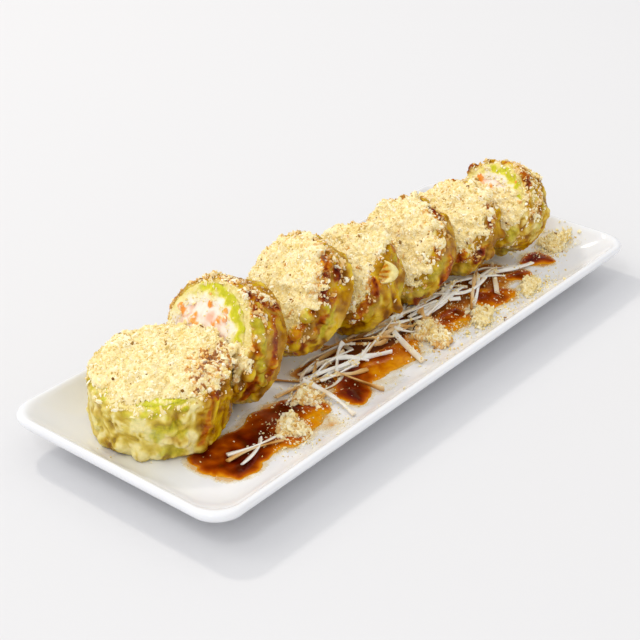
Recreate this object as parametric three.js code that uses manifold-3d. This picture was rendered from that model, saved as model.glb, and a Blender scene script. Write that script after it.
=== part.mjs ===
import * as THREE from 'three';
import { mergeVertices } from 'three/addons/utils/BufferGeometryUtils.js';
import Module from 'manifold-3d';

const wasm = await Module();
wasm.setup();

// A plate of seven fried sushi rolls with crumbs, shredded daikon and dark sauce.
// Millimetres. The origin is the middle of the foot on the table, +X runs along the
// plate from the roll that lies flat to the last one, and +Z is up.

// Sizes of the porcelain plate
const PLATE_LENGTH = 305;
const PLATE_WIDTH = 119.3;
const PLATE_CORNER = 12;
const CORNER_GROWTH = 0.25;
const CORNER_STEPS = 5;
const RIM_HEIGHT = 20;
const FLOOR_HEIGHT = 8;
const LIP_WIDTH = 3;
const SLOPE_RUN = 22;
const SLOPE_POWER = 2;
const SLOPE_STEPS = 5;
const WALL = 4.6;
const FOOT_INSET = 27;
const FOOT_WIDTH = 5;
const FOOT_RECESS = 2.4;
const FOOT_DRAFT = 1;
const LIP_DROP = 0.4;

// The rounding of the rim: how far in from the outer edge, and how far below the top
const RIM_ROUNDING = [[1.4, WALL], [0.2, 3], [0, 1.9], [0.5, 0.7], [1.6, 0]];

// Clearance that touching pieces keep, and how far food stays above the glaze
const GAP = 0.3;
const GLAZE_GAP = 0.35;

// Points nearer than this are one point
const MERGE_DISTANCE = 1e-4;

// Factors of the uneven values over space and of the seeded row of random numbers
const GRID_WAVES = [127.1, 311.7, 74.7, 53.3];
const GRID_SCALE = 4375.85;
const ROW_FACTOR = 1664525;
const ROW_STEP = 1013904223;
const ROW_RANGE = 2 ** 32;

// The make-up of a roll, as shares of its radius
const FILLING_SHARE = 0.58;
const WRAP_SHARE = 0.75;
const AVOCADO_SHIFT = 0.12;
const CRUST_SIDES = 25;
const WRAP_SIDES = 22;
const FILLING_SIDES = 20;
const EDGE_ROUND = 2.2;
const LUMP_HEIGHT = 1.5;
const LUMP_SIZE = 10;
const KNOB_HEIGHT = 0.8;
const KNOB_SIZE = 5;
const KNOB_SEED = 9;
const RIDGES = 3;
const RIDGE_HEIGHT = 0.6;
const RIDGE_LENGTH = 7;
const RELIEF_FROM = 0.87;
const SEAM_REACH = 0.1;
const AVOCADO_SINK = 0.2;

// The rounded ends of the filling: a share of its radius, and the height over its low end
// or the depth under the cut. The cut itself is rough down to a depth.
const FILLING_LOW = [[0, 0], [0.6, 0.1], [1, 0.5]];
const FILLING_CUT = [[1, 1], [0.6, 0.5], [0, 0.5]];
const FILLING_ROUGH_DEPTH = 0.9;
const FILLING_ROUGH = 0.4;

// Each roll: its middle, radius and thickness with the crumbs on it, the lean of its cut
// face back from level, the turn of that face, the depth of the crumbs, how far the layers
// lie off centre, and the direction in degrees of the thick side of the avocado. On a face
// direction 0 is to the right and 90 is up.
const ROLLS = [
  {
    at: [-105.8, 16, 25.6], radius: 29.4, thick: 30.5, tilt: 8, turn: -16,
    topping: 3.4, off: [1.2, -2], avocado: -60,
  },
  {
    at: [-69.8, 12.5, 34.6], radius: 26.8, thick: 23, tilt: 62, turn: 2,
    topping: 0.6, off: [-2.4, 1.2], avocado: 50,
  },
  {
    at: [-24, 12.5, 36.8], radius: 27, thick: 23, tilt: 52, turn: 22,
    topping: 3.2, off: [-1.6, 1], avocado: 150,
  },
  {
    at: [11, 9, 32.4], radius: 24.6, thick: 23, tilt: 42, turn: 10,
    topping: 3.2, off: [1.4, -1], avocado: -30,
  },
  {
    at: [49, 6, 33.2], radius: 25, thick: 21.5, tilt: 50, turn: 14,
    topping: 3.2, off: [-1, 1.2], avocado: 100,
  },
  {
    at: [86, 4, 31.2], radius: 23.4, thick: 22, tilt: 40, turn: 10,
    topping: 3, off: [0.8, 1], avocado: 20,
  },
  {
    at: [119.2, -2.6, 32.8], radius: 22.2, thick: 25.4, tilt: 57, turn: 5,
    topping: 1.6, off: [0, 1.6], avocado: 60,
  },
];

// The crumbs on each cut face: the middle and the widest reach of the patch as shares of
// the radius, its peak height, and the dips in its edge as direction in degrees, width in
// degrees and depth as a share of the reach.
const CRUMB_PATCHES = [
  { at: [0, 0], span: 1, peak: 4.6, dips: [[-60, 22, 0.22], [-120, 12, 0.08]] },
  { at: [0.6, -0.34], span: 0.5, peak: 3.2, dips: [[150, 40, 0.3]] },
  { at: [0, 0], span: 1, peak: 5, dips: [[200, 12, 0.1]] },
  { at: [0, 0], span: 1, peak: 4.6, dips: [[-70, 14, 0.16]] },
  { at: [0, 0], span: 1, peak: 4.6, dips: [[20, 12, 0.1]] },
  { at: [0, 0], span: 1, peak: 4.4, dips: [[-30, 14, 0.1]] },
  { at: [0, -0.3], span: 1.4, peak: 3.2, dips: [[95, 42, 0.5]] },
];
const PATCH_SIDES = 24;
const PATCH_RINGS = [0.25, 0.5, 0.72, 0.9, 1];
const PATCH_REACH = 0.97;
const PATCH_WAVES = [[7, 0.05], [11, 0.04]];

// A mound of crumbs: the size of its bumps and their share of its height, how square its
// shoulders are, how high its edge stands, and its foot as a share of its reach
const CRUMB_BUMP = 3.6;
const CRUMB_ROUGH = 0.5;
const SHOULDER_POWER = 3;
const MOUND_EDGE = 0.7;
const MOUND_FOOT = 0.97;

// Loose crumb heaps on the plate: middle, half length, half width, turn and height
const CRUMB_HEAPS = [
  { at: [-51, -18], half: [9, 7], turn: 30, height: 4.5 },
  { at: [-74, -28], half: [9, 7.5], turn: 60, height: 4.5 },
  { at: [27, -27], half: [15, 8], turn: 62, height: 5 },
  { at: [56, -36], half: [11, 5.5], turn: 25, height: 2.4 },
  { at: [97, -37], half: [11, 5], turn: 20, height: 2.2 },
  { at: [140, -24], half: [9, 6], turn: -60, height: 3.6 },
];
const HEAP_SIDES = 18;
const HEAP_RINGS = [0.35, 0.68, 1];
const HEAP_WAVES = [[3, 0.14], [5, 0.1]];

// Sauce puddles: their outlines on the plate, and their depth
const SAUCE_DEPTH = 0.6;
const SAUCE_POINTS_PER_SPAN = 2;
const SAUCE_OUTLINES = [
  [[-119, -11], [-104, -7], [-90, -10], [-72, -7], [-55, -14], [-49, -26], [-60, -34], [-78, -38],
    [-94, -34], [-108, -37], [-119, -30]],
  [[-41, -24], [-24, -14], [-8, -12], [8, -18], [19, -24], [8, -34], [-12, -32], [-24, -33], [-41, -39]],
  [[48, -17], [57, -21], [56, -28], [46, -34], [36, -33], [38, -24]],
  [[74, -16], [83, -22], [89, -34], [78, -37], [65, -33], [65, -24]],
  [[99, -19], [110, -23], [110, -30], [103, -32], [96, -24]],
  [[116, -18], [129, -16], [133, -24], [127, -32], [118, -27]],
];

// The bed of shredded daikon beside the rolls, and its shreds
const BED_FROM = -42;
const BED_TO = 105;
const BED_STATIONS = 13;
const BED_ARCH_POINTS = 7;
const BED_HALF_WIDTH = 11;
const BED_HEIGHT = 4.6;
const BED_FOOT = 1.2;
const BED_MIDDLE = -10;
const BED_SLANT = -0.05;
const BED_SWAY = 2;
const BED_SWAY_LENGTH = 17;
const BED_END_RUN = 12;
const BED_END_SHARE = 0.1;
const BED_TIP = 2;
const BED_BUMP = 7;
const BED_ROUGH = 0.35;
const BED_SEED = 5;
const BED_WIDTH_WAVE = 0.2;
const BED_WAVE_STEP = 2.1;
const SHRED_WIDTH = 1.7;
const SHRED_DEPTH = 1.2;
const SHRED_STEPS = 4;
const BED_SHREDS = 13;
const BED_SHRED_LENGTH = [24, 40];
const BED_SHRED_TURN = 1.5;
const BED_SHRED_BEND = 8;
const BED_SHRED_SIDE = 0.6;
const BED_SHRED_LIFT = 0.3;
const BED_SHRED_SEED = 21;
const OVER_SAUCE = 2;

// Shreds that lie clear of the bed's middle, as points with the height over the plate
const LONG_SHREDS = [
  [[-46, -11, 4], [-46, -28, 2.4], [-51, -43, 2]],
  [[-12, -6, 6], [-19, -9, 5], [-30, -17, 3]],
  [[-17, -8, 4], [-14, -16, 3], [1, -24, 2.2]],
  [[-40, -16, 3], [-29, -18, 2.6], [-18, -19, 2.8]],
  [[-30, -16, 3], [-28, -32, 2.1], [-26, -40, 2]],
  [[13, -16, 4], [8, -28, 2.4], [4, -39, 2]],
  [[100, -12, 3], [89, -21, 2.4], [79, -29, 2]],
  [[90, -15, 3], [105, -22, 2.3], [117, -25, 2]],
];
const NEAR_SHREDS = [
  [[-110, -25, 2], [-98, -27, 2.3], [-84, -32, 2]],
  [[-107, -22, 2], [-95, -27, 2.5], [-85, -28, 2.1]],
  [[-108, -31, 2], [-97, -29, 2.3], [-89, -24, 2]],
];

const PI = Math.PI;
const degrees = THREE.MathUtils.degToRad;

// A repeatable number from 0 to 1 for a grid point.
function gridValue(i, j, k, seed) {
  const [a, b, c, d] = GRID_WAVES;
  const wave = Math.sin(i * a + j * b + k * c + seed * d) * GRID_SCALE;
  return wave - Math.floor(wave);
}

// Smooth uneven values from -1 to 1 over space, with bumps of about one size.
function lumps(point, size, seed) {
  const scaled = [point.x / size, point.y / size, point.z / size];
  const base = scaled.map(Math.floor);
  const blend = scaled.map((value, axis) => THREE.MathUtils.smoothstep(value - base[axis], 0, 1));
  let sum = 0;
  for (let corner = 0; corner < 8; corner++) {
    const step = [corner & 1, (corner >> 1) & 1, (corner >> 2) & 1];
    const weight = step.reduce((product, on, axis) => product * (on ? blend[axis] : 1 - blend[axis]), 1);
    sum += weight * gridValue(base[0] + step[0], base[1] + step[1], base[2] + step[2], seed);
  }
  return sum * 2 - 1;
}

// A seeded row of random numbers from 0 to 1.
function randomRow(seed) {
  let state = seed;
  return () => {
    state = (state * ROW_FACTOR + ROW_STEP) % ROW_RANGE;
    return state / ROW_RANGE;
  };
}

function toSolid(geometry) {
  const bare = geometry.clone();
  bare.deleteAttribute('normal');
  bare.deleteAttribute('uv');
  const merged = mergeVertices(bare, MERGE_DISTANCE);
  return new wasm.Manifold(new wasm.Mesh({
    numProp: 3,
    vertProperties: Float32Array.from(merged.attributes.position.array),
    triVerts: Uint32Array.from(merged.index.array),
  }));
}

// The largest single body of a solid, without scraps that a cut left loose.
function largest(solid) {
  return solid.decompose().reduce((best, piece) => (piece.volume() > best.volume() ? piece : best));
}

function toMesh(name, solid, material) {
  const data = largest(solid).getMesh();
  const geometry = new THREE.BufferGeometry();
  geometry.setAttribute('position', new THREE.BufferAttribute(Float32Array.from(data.vertProperties), 3));
  geometry.setIndex(Array.from(data.triVerts));
  geometry.computeVertexNormals();
  const mesh = new THREE.Mesh(geometry, material);
  mesh.name = name;
  return mesh;
}

// A closed skin over a row of rings with equal counts, shut by a point at each end.
function loft(rings, start, end) {
  const sides = rings[0].length;
  const points = [...rings.flat(), start, end];
  const startIndex = points.length - 2;
  const endIndex = points.length - 1;
  const last = (rings.length - 1) * sides;
  const index = [];
  for (let i = 0; i < sides; i++) {
    const next = (i + 1) % sides;
    index.push(startIndex, next, i, endIndex, last + i, last + next);
    for (let row = 0; row < last; row += sides) {
      index.push(row + i, row + next, row + sides + next);
      index.push(row + i, row + sides + next, row + sides + i);
    }
  }
  const geometry = new THREE.BufferGeometry().setFromPoints(points);
  geometry.setIndex(index);
  return geometry;
}

// One rounded rectangle of the plate, in from the outer edge by inset, at height z.
function plateRing(inset, z) {
  const radius = PLATE_CORNER + CORNER_GROWTH * inset;
  const x = PLATE_LENGTH / 2 - inset - radius;
  const y = PLATE_WIDTH / 2 - inset - radius;
  const centres = [[x, y], [-x, y], [-x, -y], [x, -y]];
  return centres.flatMap(([cx, cy], corner) => {
    const arc = [];
    for (let i = 0; i <= CORNER_STEPS; i++) {
      const angle = (corner + i / CORNER_STEPS) * PI / 2;
      arc.push(new THREE.Vector3(cx + radius * Math.cos(angle), cy + radius * Math.sin(angle), z));
    }
    return arc;
  });
}

// The height of the plate's inner face at a distance in from its outer edge.
function slopeHeight(inset) {
  const share = THREE.MathUtils.clamp((SLOPE_RUN - inset) / (SLOPE_RUN - LIP_WIDTH), 0, 1);
  return FLOOR_HEIGHT + (RIM_HEIGHT - LIP_DROP - FLOOR_HEIGHT) * share ** SLOPE_POWER;
}

function plateTop(x, y) {
  return slopeHeight(Math.min(PLATE_LENGTH / 2 - Math.abs(x), PLATE_WIDTH / 2 - Math.abs(y)));
}

// Insets of the rings down the inner slope, from the lip to the flat floor.
function slopeInsets() {
  const insets = [];
  for (let i = 0; i <= SLOPE_STEPS; i++) {
    insets.push(THREE.MathUtils.lerp(LIP_WIDTH, SLOPE_RUN, i / SLOPE_STEPS));
  }
  return insets;
}

function plateSolid() {
  const footInner = FOOT_INSET + FOOT_WIDTH;
  const profile = [
    [footInner + FOOT_DRAFT, FOOT_RECESS],
    [footInner, 0],
    [FOOT_INSET, 0],
    [FOOT_INSET - FOOT_DRAFT, FOOT_RECESS],
    ...slopeInsets().reverse().slice(0, -1).map((inset) => [inset, slopeHeight(inset) - WALL]),
    ...RIM_ROUNDING.map(([inset, drop]) => [inset, RIM_HEIGHT - drop]),
    ...slopeInsets().map((inset) => [inset, slopeHeight(inset)]),
  ];
  const rings = profile.map(([inset, z]) => plateRing(inset, z));
  const under = new THREE.Vector3(0, 0, FOOT_RECESS);
  const floor = new THREE.Vector3(0, 0, FLOOR_HEIGHT);
  return toSolid(loft(rings, under, floor));
}

// The room that food must keep out of: everything under the glaze, with its gap.
function glazeRoom() {
  const below = -5;
  const rings = [
    plateRing(0, below),
    plateRing(0, RIM_HEIGHT + GLAZE_GAP),
    ...slopeInsets().map((inset) => plateRing(inset, slopeHeight(inset) + GLAZE_GAP)),
  ];
  const floor = new THREE.Vector3(0, 0, FLOOR_HEIGHT + GLAZE_GAP);
  return toSolid(loft(rings, new THREE.Vector3(0, 0, below), floor));
}

// The frame of a roll: its Z is out of the cut face, its Y up the face.
function rollFrame({ at, tilt, turn }) {
  const lean = degrees(tilt);
  const spin = degrees(turn);
  const out = new THREE.Vector3(
    -Math.sin(lean) * Math.cos(spin), Math.sin(lean) * Math.sin(spin), Math.cos(lean));
  const up = new THREE.Vector3(0, 0, 1).addScaledVector(out, -Math.cos(lean)).normalize();
  const side = new THREE.Vector3().crossVectors(up, out);
  return new THREE.Matrix4().makeBasis(side, up, out).setPosition(...at);
}

// The lowest and highest of a roll along its own axis, under the crumbs.
function rollEnds(roll) {
  return [-roll.thick / 2, roll.thick / 2 - roll.topping];
}

// A turned body round the roll's axis, from radius and height pairs.
function turned(profile, sides) {
  const points = profile.map(([radius, z]) => new THREE.Vector2(radius, z));
  const geometry = new THREE.LatheGeometry(points, sides).rotateX(PI / 2);
  geometry.deleteAttribute('normal');
  geometry.deleteAttribute('uv');
  return mergeVertices(geometry, MERGE_DISTANCE);
}

function movePoints(geometry, move) {
  const place = geometry.attributes.position;
  const point = new THREE.Vector3();
  for (let i = 0; i < place.count; i++) {
    point.fromBufferAttribute(place, i);
    move(point);
    place.setXYZ(i, point.x, point.y, point.z);
  }
  return geometry;
}

// The batter's lumps and knobs, which push the outer skin in and out.
function batterRelief(point, seed) {
  const round = Math.cos(RIDGES * Math.atan2(point.y, point.x) + seed);
  const ridge = round * Math.cos(point.z / RIDGE_LENGTH + seed);
  return LUMP_HEIGHT * lumps(point, LUMP_SIZE, seed)
    + KNOB_HEIGHT * lumps(point, KNOB_SIZE, seed + KNOB_SEED) + RIDGE_HEIGHT * ridge;
}

// The outer skin of a roll as radius and height pairs, grown by a clearance.
function skinProfile(roll, grow) {
  const [low, high] = rollEnds(roll);
  const bottom = low - grow;
  const top = high + grow;
  const radius = roll.radius + grow;
  const middle = [1 / 3, 2 / 3].map((share) => [
    radius, THREE.MathUtils.lerp(bottom + EDGE_ROUND, top - EDGE_ROUND, share)]);
  return [
    [radius - EDGE_ROUND, bottom],
    [radius, bottom + EDGE_ROUND],
    ...middle,
    [radius, top - EDGE_ROUND],
    [radius - EDGE_ROUND, top],
  ];
}

// Moves the points of the outer skin by the batter's relief.
function bulge(roll, seed) {
  const fixed = roll.radius * RELIEF_FROM;
  return (point) => {
    const reach = Math.hypot(point.x, point.y);
    if (reach > fixed) {
      const scale = (reach + batterRelief(point, seed)) / reach;
      point.x *= scale;
      point.y *= scale;
    }
  };
}

// The whole roll without its layers, grown by the clearance its neighbour keeps.
function rollRoom(roll, seed) {
  const skin = skinProfile(roll, GAP);
  const profile = [[0, skin[0][1]], ...skin, [0, skin[skin.length - 1][1]]];
  return toSolid(movePoints(turned(profile, CRUST_SIDES), bulge(roll, seed)));
}

// Where the filling's middle lies on the face: away from the avocado's thick side.
function fillingPlace(roll) {
  const away = degrees(roll.avocado);
  const shift = AVOCADO_SHIFT * roll.radius;
  return [roll.off[0] - shift * Math.cos(away), roll.off[1] - shift * Math.sin(away)];
}

// Moves the points inside a radius, so that a layer's inner wall follows what it holds.
function shiftInside(limit, [x, y]) {
  return (point) => {
    if (Math.hypot(point.x, point.y) < limit) {
      point.x += x;
      point.y += y;
    }
  };
}

// The fried batter: a thick ring with lumps on its skin.
function crustSolid(roll, seed) {
  const [low, high] = rollEnds(roll);
  const inner = roll.radius * WRAP_SHARE + GAP;
  const profile = [[inner, low], ...skinProfile(roll, 0), [inner, high], [inner, low]];
  const geometry = movePoints(turned(profile, CRUST_SIDES), bulge(roll, seed));
  return toSolid(movePoints(geometry, shiftInside(inner + SEAM_REACH, roll.off)));
}

// The avocado: a crescent ring that is thick on one side of the filling.
function wrapSolid(roll) {
  const [low, high] = rollEnds(roll);
  const inner = roll.radius * FILLING_SHARE + GAP;
  const outer = roll.radius * WRAP_SHARE;
  const bottom = low + AVOCADO_SINK;
  const top = high - AVOCADO_SINK;
  const walls = [[inner, bottom], [outer, bottom], [outer, top], [inner, top], [inner, bottom]];
  const geometry = turned(walls, WRAP_SIDES);
  const [x, y] = fillingPlace(roll);
  movePoints(geometry, shiftInside(inner + SEAM_REACH, [x - roll.off[0], y - roll.off[1]]));
  return toSolid(geometry.translate(...roll.off, 0));
}

// The filling: a solid core with a rough cut.
function fillingSolid(roll, seed) {
  const [low, high] = rollEnds(roll);
  const radius = roll.radius * FILLING_SHARE;
  const profile = [
    ...FILLING_LOW.map(([share, over]) => [radius * share, low + over]),
    ...FILLING_CUT.map(([share, under]) => [radius * share, high - under]),
  ];
  const geometry = movePoints(turned(profile, FILLING_SIDES), (point) => {
    if (point.z > high - FILLING_ROUGH_DEPTH) {
      point.z += FILLING_ROUGH * lumps(point, KNOB_SIZE, seed);
    }
  });
  return toSolid(geometry.translate(...fillingPlace(roll), 0));
}

// How far a ray from a point on the face runs before it meets the face's edge.
function reachToEdge(x, y, angle, radius) {
  const along = x * Math.cos(angle) + y * Math.sin(angle);
  return -along + Math.sqrt(along * along + radius * radius - x * x - y * y);
}

// An uneven edge as a share of its reach, from waves given as a count and a depth.
function ragged(waves, angle, seed) {
  return waves.reduce((share, [count, depth], order) => (
    share + depth * Math.sin(count * angle + (order + 1) * seed)), 1);
}

// A mound on a flat base: rings that follow reach(angle), with bumps like its crumbs.
function mound({ sides, rings, reach, height, base, seed }) {
  const ringAt = (share, z) => Array.from({ length: sides }, (_, i) => {
    const angle = 2 * PI * i / sides;
    const radius = share * reach(angle);
    return new THREE.Vector3(radius * Math.cos(angle), radius * Math.sin(angle), z);
  });
  const rise = (share) => height * Math.sqrt(Math.max(0, 1 - share ** SHOULDER_POWER));
  const lift = (point, share) => {
    const rough = 1 + CRUMB_ROUGH * lumps(point, CRUMB_BUMP, seed);
    point.z = base + Math.max(MOUND_EDGE, rise(share) * rough);
    return point;
  };
  const tops = rings.map((share) => ringAt(share, base).map((point) => lift(point, share)));
  const peak = new THREE.Vector3(0, 0, base + height);
  const foot = ringAt(MOUND_FOOT, base);
  return loft([foot, ...tops.reverse()], new THREE.Vector3(0, 0, base), peak);
}

// The crumbs on a cut face, out to the face's edge at most.
function crumbPatchSolid(roll, patch, seed) {
  const [, high] = rollEnds(roll);
  const x = patch.at[0] * roll.radius;
  const y = patch.at[1] * roll.radius;
  const reach = (angle) => {
    const uneven = ragged(PATCH_WAVES, angle, seed);
    const dips = patch.dips.reduce((share, [direction, width, depth]) => {
      const away = Math.atan2(Math.sin(angle - degrees(direction)), Math.cos(angle - degrees(direction)));
      return share * (1 - depth * Math.exp(-((away / degrees(width)) ** 2)));
    }, 1);
    const edge = reachToEdge(x, y, angle, roll.radius * PATCH_REACH);
    return Math.min(edge * uneven, edge, patch.span * roll.radius * uneven) * dips;
  };
  const geometry = mound({
    sides: PATCH_SIDES, rings: PATCH_RINGS, reach, height: patch.peak, base: high + GAP, seed,
  });
  return toSolid(geometry.translate(x, y, 0));
}

// A loose heap on the plate, its reach grown by the clearance that sauce keeps from it.
function heapSolid(heap, seed, grow = 0) {
  const reach = (angle) => {
    const [long, wide] = heap.half;
    const oval = long * wide / Math.hypot(wide * Math.cos(angle), long * Math.sin(angle));
    return grow + oval * ragged(HEAP_WAVES, angle, seed);
  };
  const geometry = mound({
    sides: HEAP_SIDES, rings: HEAP_RINGS, reach, height: heap.height, base: GLAZE_GAP, seed,
  });
  geometry.rotateZ(degrees(heap.turn)).translate(...heap.at, 0);
  return toSolid(movePoints(geometry, (point) => {
    point.z += plateTop(point.x, point.y);
  }));
}

// One puddle, as deep all over and following the plate.
function sauceSolid(outline) {
  const curve = new THREE.CatmullRomCurve3(
    outline.map(([x, y]) => new THREE.Vector3(x, y, 0)), true, 'centripetal');
  const points = curve.getPoints(outline.length * SAUCE_POINTS_PER_SPAN).slice(0, -1);
  const shape = new THREE.Shape(points.map((point) => new THREE.Vector2(point.x, point.y)));
  const geometry = new THREE.ExtrudeGeometry(shape, {
    depth: SAUCE_DEPTH, bevelEnabled: false, steps: 1,
  });
  return toSolid(movePoints(geometry, (point) => {
    point.z += plateTop(point.x, point.y) + GLAZE_GAP;
  }));
}

// One shred: a flat strip swept along a curve, given as points in the part's frame, and
// grown by a clearance where it is the room that other food keeps out of.
function shredSolid(points, grow) {
  const x = SHRED_DEPTH / 2 + grow;
  const y = SHRED_WIDTH / 2 + grow;
  const corners = [[-x, -y], [x, -y], [x, y], [-x, y]];
  const section = new THREE.Shape(corners.map((corner) => new THREE.Vector2(...corner)));
  const path = new THREE.CatmullRomCurve3(points);
  return toSolid(new THREE.ExtrudeGeometry(section, {
    steps: SHRED_STEPS, extrudePath: path, bevelEnabled: false,
  }));
}

function shredsOnPlate(rows, grow) {
  return rows.map((row) => shredSolid(
    row.map(([x, y, over]) => new THREE.Vector3(x, y, plateTop(x, y) + over)), grow));
}

// The middle line of the daikon bed, and its uneven top.
function bedMiddle(x) {
  return BED_MIDDLE + BED_SLANT * x + BED_SWAY * Math.sin(x / BED_SWAY_LENGTH);
}

function bedTop(x, y) {
  const ends = Math.min(1, (x - BED_FROM) / BED_END_RUN, (BED_TO - x) / BED_END_RUN);
  const across = THREE.MathUtils.clamp(Math.abs(y - bedMiddle(x)) / BED_HALF_WIDTH, 0, 1);
  const rough = 1 + BED_ROUGH * lumps(new THREE.Vector3(x, y, 0), BED_BUMP, BED_SEED);
  const height = BED_HEIGHT * Math.max(BED_END_SHARE, ends) * (1 - across ** 2);
  return FLOOR_HEIGHT + BED_FOOT + height * rough;
}

// The body of the bed: arches from end to end, with a wavy width.
function bedCore(grow) {
  const rings = [];
  for (let i = 0; i < BED_STATIONS; i++) {
    const x = THREE.MathUtils.lerp(BED_FROM, BED_TO, i / (BED_STATIONS - 1));
    const wave = BED_WIDTH_WAVE * (Math.sin(i * BED_WAVE_STEP) - 1);
    const half = grow + BED_HALF_WIDTH * (1 + wave);
    const ring = [];
    for (let j = 0; j < BED_ARCH_POINTS; j++) {
      const y = bedMiddle(x) + half * Math.cos(PI * j / (BED_ARCH_POINTS - 1));
      ring.push(new THREE.Vector3(x, y, bedTop(x, y) + grow));
    }
    ring.push(new THREE.Vector3(x, bedMiddle(x) - half, FLOOR_HEIGHT + GLAZE_GAP));
    ring.push(new THREE.Vector3(x, bedMiddle(x) + half, FLOOR_HEIGHT + GLAZE_GAP));
    rings.push(ring);
  }
  const tip = (x) => new THREE.Vector3(x, bedMiddle(x), FLOOR_HEIGHT + BED_FOOT / 2);
  return toSolid(loft(rings, tip(BED_FROM - BED_TIP - grow), tip(BED_TO + BED_TIP + grow)));
}

// Shreds strewn along the bed, half sunk in it so that all of them join.
function bedShreds(grow) {
  const random = randomRow(BED_SHRED_SEED);
  const shreds = [];
  for (let i = 0; i < BED_SHREDS; i++) {
    const share = (i + 0.5) / BED_SHREDS;
    const x = THREE.MathUtils.lerp(BED_FROM + BED_END_RUN, BED_TO - BED_END_RUN, share);
    const y = bedMiddle(x) + (random() - BED_SHRED_SIDE) * BED_HALF_WIDTH;
    const angle = (random() - 0.5) * BED_SHRED_TURN;
    const length = THREE.MathUtils.lerp(...BED_SHRED_LENGTH, random());
    const bend = (random() - 0.5) * BED_SHRED_BEND;
    const points = [-0.5, 0, 0.5].map((along) => {
      const side = bend * (0.25 - along * along);
      const px = x + along * length * Math.cos(angle) - side * Math.sin(angle);
      const py = y + along * length * Math.sin(angle) + side * Math.cos(angle);
      const under = Math.max(bedTop(px, py), FLOOR_HEIGHT + OVER_SAUCE);
      return new THREE.Vector3(px, py, under + BED_SHRED_LIFT);
    });
    shreds.push(shredSolid(points, grow));
  }
  return shreds;
}

function union(solids) {
  return solids.reduce((joined, solid) => joined.add(solid));
}

// A solid with its clearance: itself and its copies moved by the gap along each axis.
function grown(solid) {
  const steps = [[GAP, 0, 0], [-GAP, 0, 0], [0, GAP, 0], [0, -GAP, 0], [0, 0, GAP], [0, 0, -GAP]];
  return union([solid, ...steps.map((step) => solid.translate(...step))]);
}

function cutBy(solid, rooms) {
  return rooms.reduce((left, room) => left.subtract(room), solid);
}

// Colours as they look on the plate
function finish(color, roughness) {
  return new THREE.MeshStandardMaterial({ color, roughness, metalness: 0 });
}

const porcelain = finish(0xf4f4f1, 0.2);
const batter = finish(0xc9b04a, 0.45);
const avocado = finish(0xb7cf3d, 0.5);
const crab = finish(0xf3cfc0, 0.6);
const crumbs = finish(0xecdca4, 0.85);
const daikon = finish(0xefeae2, 0.5);
const sauce = finish(0x7a2e0c, 0.15);

const group = new THREE.Group();
const glaze = glazeRoom();
group.add(toMesh('plate', plateSolid(), porcelain));

// The rolls, each cut back where the one before it presses in. A roll's room is kept in
// the part's frame and taken into the next roll's own frame for the cut.
const rollRooms = [];
let pressing = [];
ROLLS.forEach((roll, index) => {
  const seed = index + 1;
  const frame = rollFrame(roll);
  const inverse = frame.clone().invert();
  const rooms = [glaze, ...pressing].map((room) => room.transform(inverse.elements));
  const place = new THREE.Group();
  frame.decompose(place.position, place.quaternion, place.scale);
  const patch = crumbPatchSolid(roll, CRUMB_PATCHES[index], seed);
  const layers = [
    ['crust', crustSolid(roll, seed), batter],
    ['avocado', wrapSolid(roll), avocado],
    ['filling', fillingSolid(roll, seed), crab],
    ['crumbs', patch, crumbs],
  ];
  for (const [layer, solid, material] of layers) {
    place.add(toMesh(`roll_${seed}_${layer}`, cutBy(solid, rooms), material));
  }
  group.add(place);
  const room = rollRoom(roll, seed).transform(frame.elements);
  rollRooms.push(room);
  pressing = [room, grown(patch).transform(frame.elements)];
});

// The daikon, cut back by the rolls that lie on it
const daikonParts = (grow) => [
  union([bedCore(grow), ...bedShreds(grow), ...shredsOnPlate(LONG_SHREDS, grow)]),
  union(shredsOnPlate(NEAR_SHREDS, grow)),
];
const [bed, nearShreds] = daikonParts(0).map((solid) => cutBy(solid, [glaze, ...rollRooms]));
group.add(toMesh('daikon_bed', bed, daikon));
group.add(toMesh('daikon_near', nearShreds, daikon));

// Crumb heaps are cut clear of the shreds, and sauce of all that stands in it
const heapRooms = [glaze, ...rollRooms, ...daikonParts(GAP)];
CRUMB_HEAPS.forEach((heap, index) => {
  group.add(toMesh(`crumb_heap_${index + 1}`, cutBy(heapSolid(heap, index + 1), heapRooms), crumbs));
});
const grownHeaps = CRUMB_HEAPS.map((heap, index) => heapSolid(heap, index + 1, GAP));
const sunk = [glaze, ...rollRooms, bedCore(GAP), ...grownHeaps];
SAUCE_OUTLINES.forEach((outline, index) => {
  group.add(toMesh(`sauce_${index + 1}`, cutBy(sauceSolid(outline), sunk), sauce));
});

export default group;
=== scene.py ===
# %% [markdown]
# # A plate of fried sushi rolls
# Seven rolls in batter lean in a row on a long porcelain plate. Crumbs lie on their cut
# faces, shredded daikon runs beside them, and a dark sweet sauce pools on the glaze.
# The solid model gives every place, so the lesson starts by loading it and keeping its box.

# %% Load the frame
import math

import bmesh
import bpy
import numpy as np
from mathutils import Matrix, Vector
from mathutils.bvhtree import BVHTree


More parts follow.
